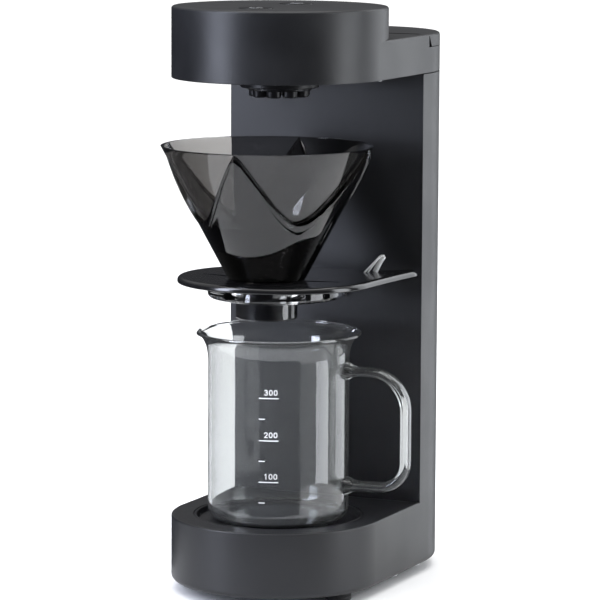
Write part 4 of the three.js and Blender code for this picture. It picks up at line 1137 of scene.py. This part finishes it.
class BREWER_OT_stage(BrewerOperator):
    """Pale floor, soft lights and the camera"""
    bl_idname = "brewer.stage"
    bl_label = "Stage, lights and camera"
    sun_strength = 2.6
    sun_spread = math.radians(70)
    # name, azimuth, distance, height, width, tall, watts and tint
    panels = (
        ("left_panel", -41, 1.5, 0.98, 0.42, 2.0, 46, (0.79, 0.84, 1.0)),
        ("right_panel", 100, 1.6, 0.1, 0.7, 2.2, 33, (0.93, 0.96, 1.0)),
        ("rear_right_panel", 152, 1.9, 0.6, 1.5, 2.2, 24, (0.93, 0.96, 1.0)),
    )
    # how far the near floor reaches, up to each azimuth in degrees
    near_reach = ((60, 0.27), (150, 0.36), (270, 0.09), (360, 0.25))
    floor_depth = 0.002
    floor_radius = 14

    def make(self, sizes):
        self.floors()
        self.sky()
        self.lamp("sun", "SUN", (0, 0, 2), (0, 0, 0), self.sun_strength)
        for panel in self.panels:
            self.panel(*panel)
        self.camera()

    def floors(self):
        """A small floor close by and a wide one round it that doesn't show in gloss."""
        material, shader = principled("pale_floor", (0.9, 0.9, 0.9), 0.9, Specular_IOR_Level=0.0)
        vary_colour(material, shader, noise(material, 1.2, 2), (0.89, 0.89, 0.89), (0.91, 0.91, 0.91))
        near = self.near_edge(-60, 300)
        inner = prism("near_floor", lambda inset: near, -self.floor_depth, 0.0)
        front = self.wide_floor("front_floor", -60, 60)
        rear = self.wide_floor("rear_floor", 60, 300)
        front.visible_transmission = False
        for floor in (front, rear):
            floor.visible_glossy = False
        for floor in (inner, front, rear):
            floor.data.materials.append(material)

    def near_edge(self, start, end):
        """Edge of the near floor between two azimuths in degrees; 0 is in front and 90 to the right."""
        points = []
        for azimuth in range(start, end, 3):
            reach = next(size for limit, size in self.near_reach if azimuth < limit)
            turn = math.radians(azimuth - 90)
            points.append((AXIS_X + reach * math.cos(turn), AXIS_Y + reach * math.sin(turn)))
        return points

    def wide_floor(self, name, start, end):
        inner = self.near_edge(start, end) + self.near_edge(end if end < 300 else -60, end + 3)[:1]
        outer = arc(AXIS_X, AXIS_Y, self.floor_radius, math.radians(end - 90), math.radians(start - 90), 48)
        return prism(name, lambda inset: inner + outer, -self.floor_depth, 0.0)

    def sky(self):
        """Dim below the horizon and brighter above it."""
        world = bpy.data.worlds.new("studio")
        bpy.context.scene.world = world
        world.use_nodes = True
        nodes, links = world.node_tree.nodes, world.node_tree.links
        place = nodes.new("ShaderNodeTexCoord")
        split = nodes.new("ShaderNodeSeparateXYZ")
        ramp = nodes.new("ShaderNodeValToRGB")
        ramp.color_ramp.elements[0].color = (0.03, 0.031, 0.036, 1)
        ramp.color_ramp.elements[1].position = 0.6
        ramp.color_ramp.elements[1].color = (0.6, 0.6, 0.6, 1)
        ramp.color_ramp.elements.new(0.25).color = (0.07, 0.071, 0.076, 1)
        links.new(place.outputs["Generated"], split.inputs["Vector"])
        links.new(split.outputs["Z"], ramp.inputs["Fac"])
        links.new(ramp.outputs["Color"], nodes["Background"].inputs["Color"])

    def lamp(self, name, kind, place, target, energy):
        data = bpy.data.lights.new(name, kind)
        data.energy = energy
        light = bpy.data.objects.new(name, data)
        bpy.context.scene.collection.objects.link(light)
        light.location = place
        aim = Vector(target) - Vector(place)
        light.rotation_euler = aim.to_track_quat("-Z", "Y").to_euler()
        if kind == "SUN":
            data.angle = self.sun_spread
        light.visible_camera = False
        return light

    def panel(self, name, azimuth, distance, height, width, tall, energy, tint):
        """An upright soft panel round the machine; azimuth 0 is in front and 90 to the right."""
        turn = math.radians(azimuth)
        place = (AXIS_X + distance * math.sin(turn), AXIS_Y - distance * math.cos(turn), height)
        light = self.lamp(name, "AREA", place, (AXIS_X, AXIS_Y, height), energy)
        light.data.shape = "RECTANGLE"
        light.data.size = width
        light.data.size_y = tall
        light.data.color = tint

    def camera(self):
        heading, pitch, roll = CAMERA_HEADING, CAMERA_PITCH, CAMERA_ROLL
        forward = Vector((-math.sin(heading) * math.cos(pitch), math.cos(heading) * math.cos(pitch),
                          -math.sin(pitch)))
        right = Vector((math.cos(heading), math.sin(heading), 0))
        up = right.cross(forward)
        level = right * math.cos(roll) + up * math.sin(roll)
        upright = -right * math.sin(roll) + up * math.cos(roll)
        data = bpy.data.cameras.new("camera")
        data.lens = CAMERA_LENS
        data.sensor_width = 36
        data.clip_end = 60
        camera = bpy.data.objects.new("camera", data)
        bpy.context.scene.collection.objects.link(camera)
        turn = Matrix((level, upright, -forward)).transposed()
        spot = Vector((AXIS_X + math.sin(CAMERA_AZIMUTH) * CAMERA_DISTANCE,
                       AXIS_Y - math.cos(CAMERA_AZIMUTH) * CAMERA_DISTANCE, BASE_BOTTOM + CAMERA_HEIGHT))
        camera.matrix_world = Matrix.Translation(spot) @ turn.to_4x4()
        bpy.context.scene.camera = camera
        bpy.context.scene.view_settings.view_transform = "Standard"


BUILDERS = (
    BREWER_OT_stage, BREWER_OT_casing, BREWER_OT_feet, BREWER_OT_seat, BREWER_OT_head, BREWER_OT_lid,
    BREWER_OT_keys, BREWER_OT_spray_head, BREWER_OT_holder, BREWER_OT_cone, BREWER_OT_brim,
    BREWER_OT_outlet, BREWER_OT_beaker, BREWER_OT_inner_works,
)


class BREWER_PT_panel(bpy.types.Panel):
    bl_idname = "BREWER_PT_panel"
    bl_label = "Coffee Brewer"
    bl_space_type = "VIEW_3D"
    bl_region_type = "UI"
    bl_category = "Brewer"

    def draw(self, context):
        for settings in (context.scene.brewer_sizes, context.scene.brewer_colours):
            for name in settings.__annotations__:
                self.layout.prop(settings, name)
        for builder in BUILDERS:
            self.layout.operator(builder.bl_idname)


CLASSES = (BrewerSizes, BrewerColours, *BUILDERS, BREWER_PT_panel)


def register():
    for kind in CLASSES:
        bpy.utils.register_class(kind)
    bpy.types.Scene.brewer_sizes = bpy.props.PointerProperty(type=BrewerSizes)
    bpy.types.Scene.brewer_colours = bpy.props.PointerProperty(type=BrewerColours)


def unregister():
    del bpy.types.Scene.brewer_colours
    del bpy.types.Scene.brewer_sizes
    for kind in reversed(CLASSES):
        bpy.utils.unregister_class(kind)


def main():
    register()
    for builder in BUILDERS:
        getattr(bpy.ops.brewer, builder.bl_idname.split(".")[1])()


if __name__ == "__main__":
    main()
